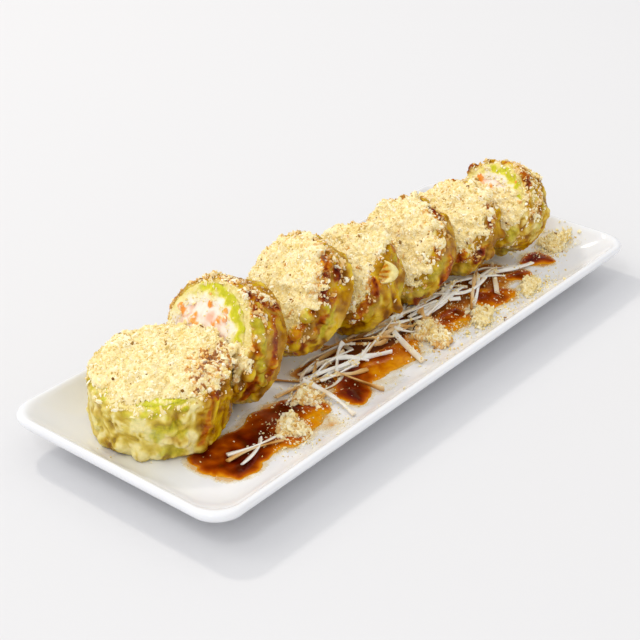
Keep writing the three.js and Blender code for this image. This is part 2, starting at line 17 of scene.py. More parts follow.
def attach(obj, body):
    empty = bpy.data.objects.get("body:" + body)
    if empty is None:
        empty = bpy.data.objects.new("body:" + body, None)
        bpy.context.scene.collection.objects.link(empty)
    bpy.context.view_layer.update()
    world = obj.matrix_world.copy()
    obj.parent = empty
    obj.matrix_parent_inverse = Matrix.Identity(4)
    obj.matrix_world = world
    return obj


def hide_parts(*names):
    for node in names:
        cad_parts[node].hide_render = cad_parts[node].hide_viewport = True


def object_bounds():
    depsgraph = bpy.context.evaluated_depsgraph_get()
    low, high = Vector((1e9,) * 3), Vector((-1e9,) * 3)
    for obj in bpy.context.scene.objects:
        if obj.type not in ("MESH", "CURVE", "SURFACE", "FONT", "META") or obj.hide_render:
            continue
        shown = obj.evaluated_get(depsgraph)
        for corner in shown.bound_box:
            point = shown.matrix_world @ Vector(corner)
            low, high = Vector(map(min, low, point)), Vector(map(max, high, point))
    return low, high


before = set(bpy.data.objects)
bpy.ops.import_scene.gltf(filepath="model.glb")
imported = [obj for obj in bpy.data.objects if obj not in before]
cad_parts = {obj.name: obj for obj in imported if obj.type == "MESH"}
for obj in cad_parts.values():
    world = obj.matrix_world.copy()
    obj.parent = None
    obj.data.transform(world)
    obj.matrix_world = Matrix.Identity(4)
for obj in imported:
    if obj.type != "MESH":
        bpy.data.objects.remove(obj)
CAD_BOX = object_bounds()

MM = 0.001
CAD_TOP = CAD_BOX[1].z / MM
TOP_EASE = 1.5
print("solid model box in mm:", [tuple(round(v / MM, 1) for v in corner) for corner in CAD_BOX])

# %% [markdown]
# ## Helpers for colours and nodes
# Colours are read off as sRGB hex values, and shaders want linear light, so one function
# turns them. Another adds a node, sets it and links it in one line, because node trees
# that are built by hand in a script soon become long.


# %% Colours and nodes
def srgb(code):
    parts = [int(code[i:i + 2], 16) / 255 for i in (1, 3, 5)]
    return (*[v / 12.92 if v <= 0.04045 else ((v + 0.055) / 1.055) ** 2.4 for v in parts], 1.0)


def give(tree, node, inputs):
    """Sets a node's inputs. A socket is linked, and anything else is a constant."""
    for key, value in inputs.items():
        if isinstance(value, bpy.types.NodeSocket):
            tree.links.new(value, node.inputs[key])
        else:
            node.inputs[key].default_value = value


def add(tree, kind, inputs=None, **settings):
    """Adds a node. Settings are its own, inputs are values, or sockets to link."""
    node = tree.nodes.new(kind)
    for name, value in settings.items():
        setattr(node, name, value)
    give(tree, node, inputs or {})
    return node


print("the grey #808080 in linear light:", round(srgb("#808080")[0], 3))

# %% [markdown]
# ## A recipe for each material
# Every surface here is made of the same few steps: read a number that the mesh keeps, draw
# noise at a real size in millimetres, turn a value into a colour, lay one colour over
# another. Each step is a method, so a recipe reads like a list of what the eye sees.

# %% Material recipes
class Recipe:
    """A material with its node tree and its shader."""

    def __init__(self, name):
        self.material = bpy.data.materials.new(name)
        self.material.use_nodes = True
        self.tree = self.material.node_tree
        self.tree.nodes.clear()
        self.shader = add(self.tree, "ShaderNodeBsdfPrincipled")
        add(self.tree, "ShaderNodeOutputMaterial", {"Surface": self.shader.outputs[0]})
        self.place = add(self.tree, "ShaderNodeTexCoord").outputs["Object"]

    def read(self, name):
        """A number kept on the points of the mesh."""
        return add(self.tree, "ShaderNodeAttribute", attribute_name=name).outputs["Fac"]

    def noise(self, size, detail, **more):
        """Noise with a pattern of a real size."""
        return add(self.tree, "ShaderNodeTexNoise", {
            "Vector": self.place, "Scale": 1 / (size * MM), "Detail": detail, **more}).outputs[0]

    def total(self, value, factor, other=0.0):
        """The value times a factor, plus another."""
        return add(self.tree, "ShaderNodeMath", {0: value, 1: factor, 2: other},
                   operation="MULTIPLY_ADD").outputs[0]

    def span(self, value, low, high, start=0.0, end=1.0):
        """The value's range from low to high as one from start to end."""
        return add(self.tree, "ShaderNodeMapRange",
                   {0: value, 1: low, 2: high, 3: start, 4: end}).outputs[0]

    def ramp(self, value, *stops):
        """A value as a colour, by positions with their hex colours."""
        node = add(self.tree, "ShaderNodeValToRGB", {0: value})
        colours = node.color_ramp.elements
        colours.remove(colours[-1])
        colours[0].position, colours[0].color = stops[0][0], srgb(stops[0][1])
        for position, code in stops[1:]:
            colours.new(position).color = srgb(code)
        return node.outputs[0]

    def lay(self, share, under, over, **settings):
        """One colour over another by a share."""
        return add(self.tree, "ShaderNodeMix", {0: share, 6: under, 7: over}, data_type="RGBA",
                   **settings).outputs[2]

    def relief(self, size, detail, strength, depth):
        """Fine relief of a depth in millimetres for the shader's normal."""
        return add(self.tree, "ShaderNodeBump", {
            "Strength": strength, "Distance": depth * MM,
            "Height": self.noise(size, detail)}).outputs[0]

    def done(self, inputs):
        give(self.tree, self.shader, inputs)
        print("material:", self.material.name, "with", len(self.tree.nodes), "nodes")
        return self.material


def light_inside(weight, *reach):
    """How much light goes under the skin, and how far in millimetres: red, green and blue."""
    return {"Subsurface Weight": weight, "Subsurface Radius": tuple(v * MM for v in reach),
            "Subsurface Scale": 1.0}


# %% [markdown]
# ## Helpers for meshes
# All shaping is done in millimetres with arrays of points, and a mesh is scaled to metres
# when its piece is finished. A soft uneven field of bumps is the tool used most: batter,
# crumbs and sauce all need it at different sizes.

# %% Bumps, smooth steps and smooth lines
LATTICE = np.array([[127.1, 269.5, 113.5], [311.7, 183.3, 271.9], [74.7, 246.1, 124.6]])
BUMP_GAIN = 1.6


def bumps(points, size, seed):
    """Smooth uneven values from about -1 to 1 over space, with bumps of one size."""
    scaled = points / size
    base = np.floor(scaled)
    inside = scaled - base
    fade = inside ** 3 * (inside * (inside * 6 - 15) + 10)
    total = np.zeros(len(points))
    for corner in range(8):
        step = np.array([corner & 1, corner >> 1 & 1, corner >> 2 & 1])
        wave = np.sin((base + step) @ LATTICE + seed * 53.3) * 43758.5453
        gradient = (wave - np.floor(wave)) * 2 - 1
        weight = np.prod(np.where(step == 1, fade, 1 - fade), axis=1)
        total += weight * np.einsum("ij,ij->i", gradient, inside - step)
    return total * BUMP_GAIN


def ease(value, start, end):
    """0 before start, 1 after end, and a smooth step between."""
    t = np.clip((value - start) / (end - start), 0, 1)
    return t * t * (3 - 2 * t)


def near_spots(places, spots):
    """A field over the plate that fades with the distance from spots: x, y, reach, strength."""
    field = np.zeros(len(places))
    for x, y, reach, strength in spots:
        away = np.linalg.norm(places - np.array([x, y]), axis=1) / reach
        field = np.maximum(field, strength * np.exp(-away ** 2))
    return field


def between(a, b, c, d, t):
    """The smooth line from b to c, with a before them and d after."""
    return 0.5 * (2 * b + (c - a) * t + (2 * a - 5 * b + 4 * c - d) * t ** 2
                  + (3 * b - a - 3 * c + d) * t ** 3)


def smooth_line(stops, count):
    """Points on a smooth open line through the stops."""
    stops = np.array(stops, float)
    ends = np.concatenate([[2 * stops[0] - stops[1]], stops, [2 * stops[-1] - stops[-2]]])
    place = np.linspace(0, len(stops) - 1.0001, count)
    before = place.astype(int)
    return between(*(ends[before + k] for k in range(4)), (place - before)[:, None])


print("bumps of 5 mm, 1 mm apart:", bumps(np.arange(4)[:, None] * np.eye(3)[0], 5, 1).round(2))

# %% [markdown]
# Whole arrays of points are read from a mesh and written back, which is quicker than going
# point by point. Numbers kept on the points carry what the materials and the node trees
# need, such as where the sauce runs and where the crumbs lie.

# %% Meshes as arrays of points
def mesh_of(name, points, faces, smooth=False):
    mesh = bpy.data.meshes.new(name)
    mesh.from_pydata([tuple(p) for p in points], [], [tuple(f) for f in faces])
    mesh.validate()
    if smooth:
        mesh.polygons.foreach_set("use_smooth", [True] * len(mesh.polygons))
    return mesh


def points_of(mesh):
    values = np.zeros(len(mesh.vertices) * 3)
    mesh.vertices.foreach_get("co", values)
    return values.reshape(-1, 3)


def normals_of(mesh):
    values = np.zeros(len(mesh.vertices) * 3, np.float32)
    mesh.vertex_normals.foreach_get("vector", values)
    return values.reshape(-1, 3).astype(float)


def set_points(mesh, points):
    mesh.vertices.foreach_set("co", np.asarray(points, float).ravel())
    mesh.update()


def store(mesh, **layers):
    """Keeps numbers on the mesh's points, for a material or a node tree to read."""
    for name, values in layers.items():
        layer = mesh.attributes.get(name) or mesh.attributes.new(name, "FLOAT", "POINT")
        numbers = np.zeros(len(mesh.vertices), np.float32)
        numbers[:] = values
        layer.data.foreach_set("value", numbers)


def stored(mesh, name):
    """The numbers that a mesh keeps under a name."""
    numbers = np.zeros(len(mesh.vertices))
    mesh.attributes[name].data.foreach_get("value", numbers)
    return numbers


# %% [markdown]
# Thin things such as sauce start as a flat grid. The squares where they are get a second
# skin below and walls round their edge, so the layer is closed and light can go into it.

# %% Closed layers from squares
def slab(name, top, bottom, quads):
    """A closed sheet from matching points above and below, and the squares between them."""
    count = len(top)
    sides = {(int(q[k]), int(q[(k + 1) % 4])) for q in quads for k in range(4)}
    faces = list(quads) + [q[::-1] + count for q in quads]
    faces += [(b, a, a + count, b + count) for a, b in sides if (b, a) not in sides]
    return mesh_of(name, np.concatenate([top, bottom]), faces, smooth=True)


def grid(xs, ys):
    return np.array([(x, y) for x in xs for y in ys])


def squares(rows, columns, good=None):
    """The squares of a grid whose four corners are good, as rows of point numbers."""
    good = np.ones((rows, columns), bool) if good is None else good.reshape(rows, columns)
    cell = good[:-1, :-1] & good[1:, :-1] & good[:-1, 1:] & good[1:, 1:]
    return np.array([(i * columns + j, (i + 1) * columns + j, (i + 1) * columns + j + 1,
                      i * columns + j + 1) for i, j in np.argwhere(cell)])


print("a grid of 4 by 3 points has", len(squares(4, 3)), "squares")

# %% [markdown]
# Shapes start as copies of the solid model's own nodes. Lumps are set on them, and a voxel
# remesh melts all of it into one skin, which is how batter behaves.

# %% Melting
def new_object(name, data):
    thing = bpy.data.objects.new(name, data)
    bpy.context.scene.collection.objects.link(thing)
    return thing


def evaluated(holder):
    """The plain mesh that an object's modifiers make. The object itself goes."""
    mesh = bpy.data.meshes.new_from_object(
        holder.evaluated_get(bpy.context.evaluated_depsgraph_get()))
    bpy.data.objects.remove(holder)
    return mesh


def solid_copy(node):
    """A merged copy of a node of the solid model, in millimetres."""
    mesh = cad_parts[node].data.copy()
    mesh.materials.clear()
    shape = bmesh.new()
    shape.from_mesh(mesh)
    bmesh.ops.remove_doubles(shape, verts=shape.verts, dist=0.01 * MM)
    bmesh.ops.scale(shape, vec=(1 / MM,) * 3, verts=shape.verts)
    return mesh, shape


def add_lump(shape, place, radius, stretch=(1, 1, 1)):
    """A small closed lump in the shape, to be melted in by the remesh."""
    matrix = Matrix.Translation(place) @ Matrix.Diagonal((*stretch, 1))
    bmesh.ops.create_icosphere(shape, subdivisions=2, radius=radius, matrix=matrix)


def melted(mesh, shape, voxel, smooth):
    """Writes the shape to the mesh and returns it as one even skin of small squares."""
    shape.to_mesh(mesh)
    shape.free()
    holder = new_object("holder", mesh)
    cells = holder.modifiers.new("cells", "REMESH")
    cells.mode = "VOXEL"
    cells.voxel_size = voxel
    cells.use_smooth_shade = True
    soften = holder.modifiers.new("soften", "SMOOTH")
    soften.factor = 0.5
    soften.iterations = smooth
    return evaluated(holder)


def wall_behind(mesh, reach):
    """How thick the piece is behind each point, measured up to a reach."""
    points, normals = points_of(mesh), normals_of(mesh)
    tree = BVHTree.FromPolygons(points.tolist(), [tuple(p.vertices) for p in mesh.polygons])
    start = points - normals * 0.05
    hits = [tree.ray_cast(a.tolist(), (-n).tolist(), reach)[3] for a, n in zip(start, normals)]
    return np.array([reach if hit is None else hit for hit in hits])


# %% [markdown]
# A finished mesh becomes a piece that rides on the root body and stands for its nodes of
# the solid model. What would rise past the model's top is eased back under it.

# %% Finishing
def finish_piece(name, mesh, material, slot, *nodes):
    """Scales a mesh to metres and makes it a piece that stands for its nodes."""
    points = points_of(mesh)
    over = np.maximum(points[:, 2] - (CAD_TOP - TOP_EASE), 0)
    points[:, 2] += TOP_EASE * (1 - np.exp(-over / TOP_EASE)) - over
    set_points(mesh, points * MM)
    mesh.materials.clear()
    mesh.materials.append(material)
    mesh.name = name
    piece = new_object(name, mesh)
    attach(piece, "root")
    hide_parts(*nodes)
    mesh.calc_loop_triangles()
    print(f"{name}: {len(mesh.loop_triangles)} triangles")


# %% [markdown]
# ## Camera, floor and light
# The camera looks down on the plate from its near left end with a long lens. The floor is
# plain and nearly white, and broad soft suns with an even glow all round leave a soft
# shadow at the near edge. Two small lamps give the wet places their sparkle.

# %% Camera
CAMERA_PLACE = (-474.72, -368.24, 355.72)
CAMERA_RIGHT = (0.63231636, -0.77469479, 0.00489895)
CAMERA_UP = (0.37692597, 0.31316443, 0.87169654)
CAMERA_FORWARD = (0.67683294, 0.54934144, -0.49002158)

camera = new_object("camera", bpy.data.cameras.new("camera"))
camera.data.lens = 85
camera.data.sensor_width = 36
camera.data.clip_start = 0.01
camera.matrix_world = Matrix([
    (r, u, -f, p * MM) for r, u, f, p in
    zip(CAMERA_RIGHT, CAMERA_UP, CAMERA_FORWARD, CAMERA_PLACE)] + [(0, 0, 0, 1)])
bpy.context.scene.camera = camera
bpy.context.scene.view_settings.view_transform = "Standard"
print("camera distance in mm:", round(math.dist(CAMERA_PLACE, (0, 0, 0))))

# %% [markdown]
# A shiny surface mirrors what is round it. In its reflections the room is kept dim, so that
# the glaze and the sauce don't wash out, while the even glow still fills the shadows.

# %% Floor and glow
FLOOR_HALF = 4.0
GLOW_STRENGTH = 0.925
MIRRORED_STRENGTH = 0.1

studio_floor = Recipe("studio_floor_paint").done({
    "Base Color": srgb("#DCDCDE"), "Roughness": 0.9, "Specular IOR Level": 0.1})
floor = new_object("floor", mesh_of("floor", [
    (x * FLOOR_HALF, y * FLOOR_HALF, 0) for x, y in ((-1, -1), (1, -1), (1, 1), (-1, 1))],
    [(0, 1, 2, 3)]))
floor.data.materials.append(studio_floor)

world = bpy.data.worlds.new("studio_glow")
world.use_nodes = True
world.node_tree.nodes.clear()
glow, room = (add(world.node_tree, "ShaderNodeBackground", {
    "Color": srgb("#F8F8F8"), "Strength": strength}).outputs[0]
    for strength in (GLOW_STRENGTH, MIRRORED_STRENGTH))
rays = add(world.node_tree, "ShaderNodeLightPath").outputs["Is Glossy Ray"]
both = add(world.node_tree, "ShaderNodeMixShader", {0: rays, 1: glow, 2: room}).outputs[0]
add(world.node_tree, "ShaderNodeOutputWorld", {"Surface": both})
bpy.context.scene.world = world

# %% [markdown]
# Food is photographed under large soft sources, so three broad suns make the soft shadows.
# They stay out of the reflections, where two small lamps alone make wet places sparkle.

# %% Lamps
# Name, kind, place, energy, width in degrees for a sun and in metres for a lamp, and colour
LAMPS = [("soft_key", "SUN", (-0.62, 0.72, 1.0), 0.42, 30, "#FFFBF4"),
         ("overhead", "SUN", (0.1, 0.15, 1.0), 0.12, 70, "#FCFCFF"),
         ("fill", "SUN", (-0.8, -0.3, 0.55), 0.3, 60, "#FCFCFF"),
         ("sparkle", "AREA", (0.1, 1.1, 1.4), 6.5, 0.16, "#FFF8EC"),
         ("side_sparkle", "AREA", (-0.9, -0.2, 1.3), 1.6, 0.14, "#FFFFFF")]

for name, kind, place, energy, width, colour in LAMPS:
    lamp = new_object(name, bpy.data.lights.new(name, kind))
    lamp.data.energy, lamp.data.color = energy, srgb(colour)[:3]
    if kind == "SUN":
        lamp.data.angle = math.radians(width)
    else:
        lamp.data.size = width
    lamp.visible_glossy = kind == "AREA"
    lamp.location = place
    lamp.rotation_mode = "QUATERNION"
    lamp.rotation_quaternion = (-lamp.location.normalized()).to_track_quat("-Z", "Y")
print("lamps:", len(LAMPS))

# %% [markdown]
# ## The porcelain plate
# The real plate is pressed or slip-cast porcelain: a flat floor, a slope that sweeps up
# to a rounded lip, and an unglazed foot ring that stands on the table. A loft of rounded
# rectangles follows its profile, as the solid does, here with many more rings and corner
# points, so the glaze runs smoothly.

# %% Plate sizes
PLATE_LENGTH = 305
PLATE_WIDTH = 119.3
PLATE_CORNER = 12
CORNER_GROWTH = 0.25
RIM_HEIGHT = 20
PLATE_FLOOR = 8
LIP_WIDTH = 3
SLOPE_RUN = 22
WALL = 4.6
FOOT_INSET = 27
FOOT_WIDTH = 5
FOOT_RECESS = 2.4
CORNER_STEPS = 14
SIDE_STEPS = 30
END_STEPS = 12
print("plate in mm:", PLATE_LENGTH, "by", PLATE_WIDTH, "by", RIM_HEIGHT)

# %% [markdown]
# All food on the plate rests on its glaze, so one function gives the glaze's height at any
# place. The slope is part of a parabola, which meets the flat floor without a crease.

# %% Height of the glaze
def slope_height(inset):
    """Height of the inner face at a distance in from the plate's outer edge."""
    share = np.clip((SLOPE_RUN - inset) / (SLOPE_RUN - LIP_WIDTH), 0, 1)
    return PLATE_FLOOR + (RIM_HEIGHT - 0.4 - PLATE_FLOOR) * share ** 2


def plate_top(x, y):
    return slope_height(np.minimum(PLATE_LENGTH / 2 - np.abs(x), PLATE_WIDTH / 2 - np.abs(y)))


def glaze_under(points):
    """Height of the plate's glaze below each point."""
    return plate_top(points[:, 0], points[:, 1])


def over_glaze(places, gap):
    """Places on the plate as points at a height over its glaze."""
    return np.column_stack([places, glaze_under(places) + gap])


def flat(places):
    """Places on the plate as points at height 0, for bumps that don't change with height."""
    return np.column_stack([places[:, :2], np.zeros(len(places))])


def push_out(mesh, push, gap):
    """Moves the points along their normals, keeps them over the glaze and returns them."""
    points = points_of(mesh) + normals_of(mesh) * push[:, None]
    points[:, 2] = np.maximum(points[:, 2], glaze_under(points) + gap)
    set_points(mesh, points)
    return points


print("glaze height 10 mm from the edge:", round(float(slope_height(10)), 2))

# %% [markdown]
# Every level of the plate is the same kind of ring: a rectangle with rounded corners, which
# get a little wider towards the middle. Points along the straight sides keep faces small.

# %% A ring of the plate
def plate_ring(inset, z):
    """One rounded rectangle, at a distance in from the outer edge and a height."""
    radius = PLATE_CORNER + CORNER_GROWTH * inset
    x, y = PLATE_LENGTH / 2 - inset - radius, PLATE_WIDTH / 2 - inset - radius
    middles = [(x, y), (-x, y), (-x, -y), (x, -y)]
    ring = []
    for corner, (cx, cy) in enumerate(middles):
        for i in range(CORNER_STEPS + 1):
            angle = (corner + i / CORNER_STEPS) * math.pi / 2
            ring.append((cx + radius * math.cos(angle), cy + radius * math.sin(angle), z))
        nx, ny = middles[(corner + 1) % 4]
        ax, ay, _ = ring[-1]
        bx, by = nx + radius * math.cos(angle), ny + radius * math.sin(angle)
        steps = SIDE_STEPS if corner % 2 == 0 else END_STEPS
        ring += [(ax + (bx - ax) * k / steps, ay + (by - ay) * k / steps, z)
                 for k in range(1, steps)]
    return ring


# %% [markdown]
# The profile is a list of stops, each a distance in from the outer edge and a height. It
# runs from the middle of the underside, down over the foot ring and out under the slope,
# round the lip and back in over the glaze.

# %% Plate mesh
foot_inner = FOOT_INSET + FOOT_WIDTH
profile = [(foot_inner + step, z) for step, z in (
    (3, FOOT_RECESS), (1.6, FOOT_RECESS), (0.9, FOOT_RECESS - 0.3), (0.4, 0.5), (0, 0.08),
    (-0.6, 0))]
profile += [(FOOT_INSET + step, z) for step, z in (
    (0.6, 0), (0, 0.08), (-0.4, 0.5), (-0.9, FOOT_RECESS - 0.4), (-2, FOOT_RECESS + 0.3))]
profile += [(inset, slope_height(inset) - WALL)
            for inset in np.linspace(SLOPE_RUN, LIP_WIDTH + 0.5, 12)]
profile += [(1.5, 15.3), (0.7, 16.1), (0.25, 17), (0.03, 18), (0.1, 18.7), (0.4, 19.3),
            (0.9, 19.75), (1.6, 20), (2.3, 19.93)]
profile += [(inset, slope_height(inset)) for inset in np.linspace(LIP_WIDTH, SLOPE_RUN, 16)]
profile += [(SLOPE_RUN + step, PLATE_FLOOR) for step in (2, 5, 9, 13)]
rings = [plate_ring(inset, z) for inset, z in profile]
count = len(rings[0])
faces = []
for row in range(0, (len(rings) - 1) * count, count):
    for i in range(count):
        j = (i + 1) % count
        faces.append((row + i, row + j, row + count + j, row + count + i))
last = (len(rings) - 1) * count
faces += [tuple(range(count))[::-1], tuple(range(last, last + count))]
plate_mesh = mesh_of("plate", [p for ring in rings for p in ring], faces, smooth=True)
print("plate rings:", len(rings), "of", count, "points")

# %% [markdown]
# The glaze is a clear coat over a cool white body, with a faint unevenness that bends the
# reflections a little. The foot that stands on the table is bare, matt biscuit.

# %% Glazed porcelain
GLAZE_RIPPLE = 24.0

glazed = Recipe("glazed_porcelain")
body = glazed.ramp(glazed.noise(GLAZE_RIPPLE, 3.0), (0.3, "#E9EAED"), (0.7, "#EEEFF2"))
height = add(glazed.tree, "ShaderNodeSeparateXYZ", {0: glazed.place}).outputs["Z"]
bare = glazed.span(height, 0.3 * MM, 0.9 * MM, 1.0, 0.0)
porcelain = glazed.done({
    "Base Color": glazed.lay(bare, body, srgb("#DDD8CC")),
    "Roughness": glazed.span(bare, 0.0, 1.0, 0.16, 0.75),
    "Normal": glazed.relief(6.0, 2.0, 0.04, 0.4), "IOR": 1.5,
    **light_inside(0.12, 2.5, 2.3, 2.0)})
finish_piece("porcelain_plate", plate_mesh, porcelain, "porcelain", "plate")

# %% [markdown]
# ## Where the rolls are
# Each roll is a short drum that leans back. Its own frame has X to the right on the cut
# face, Y up the face and Z out of it, so features are given as a direction in degrees
# round the face and a distance along the axis. The numbers are those of the solid model.

# %% Rolls
ROLLS = [
    dict(at=(-105.8, 16, 25.6), radius=29.4, thick=30.5, tilt=8, turn=-16, topping=3.4,
         off=(1.2, -2), avocado=-60),
    dict(at=(-69.8, 12.5, 34.6), radius=26.8, thick=23, tilt=62, turn=2, topping=0.6,
         off=(-2.4, 1.2), avocado=50),
    dict(at=(-24, 12.5, 36.8), radius=27, thick=23, tilt=52, turn=22, topping=3.2,
         off=(-1.6, 1), avocado=150),
    dict(at=(11, 9, 32.4), radius=24.6, thick=23, tilt=42, turn=10, topping=3.2,
         off=(1.4, -1), avocado=-30),
    dict(at=(49, 6, 33.2), radius=25, thick=21.5, tilt=50, turn=14, topping=3.2,
         off=(-1, 1.2), avocado=100),
    dict(at=(86, 4, 31.2), radius=23.4, thick=22, tilt=40, turn=10, topping=3,
         off=(0.8, 1), avocado=20),
    dict(at=(119.2, -2.6, 32.8), radius=22.2, thick=25.4, tilt=57, turn=5, topping=1.6,
         off=(0, 1.6), avocado=60),
]
OPEN_ROLLS = (2, 7)
# The rolls at the ends of the row, which hardly any sauce runs over
PALE_ROLLS = (1, 7)
FILLING_SHARE = 0.58
WRAP_SHARE = 0.75
AVOCADO_SHIFT = 0.12
print("rolls:", len(ROLLS), "with radii in mm:", [roll["radius"] for roll in ROLLS])

# %% [markdown]
# Turning points into a roll's own frame and back is one product with three axes. There a
# direction and a distance find the same feature on every roll, whichever way it leans.

# %% A roll's own frame
def roll_axes(roll):
    """Rows are the roll's right, up and outward directions."""
    lean, spin = math.radians(roll["tilt"]), math.radians(roll["turn"])
    out = np.array([-math.sin(lean) * math.cos(spin), math.sin(lean) * math.sin(spin),
                    math.cos(lean)])
    up = np.array([0, 0, 1]) - out * math.cos(lean)
    up /= np.linalg.norm(up)
    return np.array([np.cross(up, out), up, out])


def to_roll(roll, points):
    return (points - np.array(roll["at"])) @ roll_axes(roll).T


def from_roll(roll, points):
    return np.asarray(points) @ roll_axes(roll) + np.array(roll["at"])


def roll_point(roll, direction, reach, along):
    """The place in a direction round the roll's axis, at a distance from it and along it."""
    angle = math.radians(direction)
    return from_roll(roll, [reach * math.cos(angle), reach * math.sin(angle), along])


def ends_of(roll):
    """Where the roll's drum starts and ends along its axis, without the crumbs."""
    return -roll["thick"] / 2, roll["thick"] / 2 - roll["topping"]


def filling_place(roll):
    away = math.radians(roll["avocado"])
    shift = AVOCADO_SHIFT * roll["radius"]
    return np.array([roll["off"][0] - shift * math.cos(away),
                     roll["off"][1] - shift * math.sin(away)])


# %% [markdown]
# ## What runs over the rolls
# The sauce was poured over the row, so it runs from the top of each roll down its sides.
# A run is a row of stops, each a direction and a distance along the axis, and for some a
# distance from it. A width in millimetres and a strength follow. Green places are where
# avocado shows through thin batter.

# %% How strong a run is
STEPS_BETWEEN_STOPS = 7


def run_strength(roll, local, runs, seed):
    """How strongly runs of sauce or colour reach each point: the strongest one counts."""
    wobble = 0.85 + 0.55 * bumps(local, 2.4, seed) + 0.4 * bumps(local, 6.0, seed + 1)
    total = np.zeros(len(local))
    for stops, radius, strength in runs:
        stops = np.array([(*stop, roll["radius"])[:3] for stop in stops], float)
        dense = np.concatenate([np.linspace(a, b, STEPS_BETWEEN_STOPS)
                                for a, b in zip(stops[:-1], stops[1:])] or [stops])
        angles, reach = np.radians(dense[:, 0]), dense[:, 2]
        line = np.stack([reach * np.cos(angles), reach * np.sin(angles), dense[:, 1]], 1)
        away = np.full(len(local), 1e9)
        for spot in line:
            away = np.minimum(away, np.linalg.norm(local - spot, axis=1))
        total = np.maximum(total, strength * ease(radius * wobble - away, -1.3, 1.5))
    return total


# %% [markdown]
# The runs were read off the photo, roll by roll, and those on the far side continue them.
# Direction 0 is to the right on the cut face, 90 is up it and -90 is down.

# %% Sauce runs and green places
SAUCE_RUNS = {
    1: [([(3, 13), (-14, 9), (-22, -2), (-30, -9)], 1.8, 0.45),
        ([(-6, 12.5), (-10, 9)], 2.4, 0.85), ([(30, 12), (14, 12)], 3, 0.5),
        ([(52, 11), (44, 4)], 2.4, 0.4)],
    2: [([(62, 9), (55, 2), (52, -6)], 3.2, 0.8), ([(48, 10), (24, 10.9, 22), (6, 10)], 1.7, 0.8),
        ([(40, 0), (24, 1), (2, -1), (-18, -4)], 2, 0.75), ([(84, 10), (96, 9)], 2.6, 0.6),
        ([(160, 9), (176, 9.5)], 1.5, 0.5), ([(110, 2), (135, -3), (160, -5)], 2.4, 0.7),
        ([(-22, 4), (-40, 1)], 2.6, 0.6)],
    3: [([(60, 9), (41, 7.5), (26, 9), (19, 5)], 2.8, 1), ([(56, -1), (45, 1)], 3, 0.95),
        ([(20, 9), (4, 8), (-18, 7), (-34, 6.5)], 1.9, 0.8),
        ([(30, 0), (2, 1), (-20, -1)], 1.6, 0.6), ([(-30, 1), (-40, -2)], 2.4, 0.7),
        ([(120, 3), (150, -2)], 2.6, 0.7)],
    4: [([(-14, 8), (-34, 4), (-44, 0)], 2.4, 0.4), ([(60, 4), (50, -2)], 2.2, 0.6),
        ([(140, 3), (165, -2)], 2.4, 0.7)],
    5: [([(72, 6), (60, 2)], 4, 0.85), ([(18, -4), (6, -7), (-10, -8)], 2.2, 0.75),
        ([(-36, -4), (-50, -7)], 2.6, 0.6), ([(20, 6), (10, 3)], 1.8, 0.5),
        ([(130, 4), (155, 0)], 2.4, 0.6)],
    6: [([(52, 8), (36, 5), (24, 4)], 2.3, 0.85), ([(-10, 0), (-20, -2)], 3, 0.8),
        ([(-28, 8), (-36, 4)], 2.4, 0.9), ([(12, 2), (0, 0)], 1.6, 0.55),
        ([(120, 5), (150, 2)], 2.4, 0.6)],
    7: [([(55, 11), (42, 11)], 2.6, 0.8), ([(143, 10), (150, 8)], 2.6, 0.8),
        ([(95, 10), (84, 6)], 2, 0.5), ([(30, 2), (10, -2)], 1.6, 0.35),
        ([(110, -2), (140, -6)], 2.2, 0.5)],
}
GREEN_RUNS = {
    1: [([(-36, 12.5), (-54, 12), (-70, 11.8)], 3, 1),
        ([(-36, 12, 25), (-54, 12, 25.5), (-68, 12, 26)], 3.2, 1),
        ([(-158, 13, 28), (-131, 12, 28), (-112, 11.7, 28)], 2, 0.9),
        ([(-89, 10.5), (-80, 9)], 2, 0.5), ([(-48, 4), (-58, 3), (-66, 0)], 3.4, 0.8),
        ([(-52, 1), (-44, -1)], 3, 0.9), ([(-61, -8), (-50, -9)], 3.2, 0.6),
        ([(-120, 0), (-124, -6)], 3.2, 0.35), ([(120, 4), (140, -3)], 4, 0.6),
        ([(60, -2), (80, -8)], 4, 0.5), ([(-160, -2)], 4, 0.6)],
    2: [([(33, 10.9), (17, 9.7), (-1, 6.5), (-21, -2)], 3, 1), ([(141, 11, 25)], 2, 0.5),
        ([(100, 6), (130, 2)], 4, 0.6), ([(170, 2), (190, -3)], 4, 0.6)],
    3: [([(2, 9), (-6, 8)], 3.2, 0.9), ([(14, 0), (3, -2), (-12, -3)], 4.2, 1),
        ([(-1, -4)], 3, 0.7), ([(110, 4), (140, 0)], 4.2, 0.6), ([(170, 0), (195, -3)], 4, 0.6)],
    4: [([(54, 5), (48, 2)], 3.4, 1), ([(45, 4.4), (29, 9.2, 23.3)], 2.6, 0.4),
        ([(-6, 5), (-22, 3)], 2.8, 0.75), ([(-8, 0), (-4, -4)], 2.4, 0.6), ([(18, -8)], 3.4, 0.8),
        ([(120, 2), (150, 0)], 4.2, 0.6)],
    5: [([(8, 1), (-17, 1), (-30, -2)], 3.8, 0.8), ([(-48, 0)], 3, 0.6),
        ([(120, 3), (150, 0)], 4.2, 0.6)],
    6: [([(-34, -3), (-44, -6)], 3.4, 0.7), ([(7, 2), (-2, 1)], 2.4, 0.4),
        ([(120, 0), (160, -2)], 4.2, 0.6)],
    7: [([(-30, 9), (-40, 6)], 4.4, 0.8), ([(18, -2), (-2, -3.5)], 2.4, 0.9),
        ([(85, 8), (95, 6)], 3, 0.7), ([(100, -4), (140, -6)], 4.2, 0.6), ([(-60, -6)], 4, 0.6)],
}
print("runs of sauce:", sum(map(len, SAUCE_RUNS.values())),
      "and green places:", sum(map(len, GREEN_RUNS.values())))

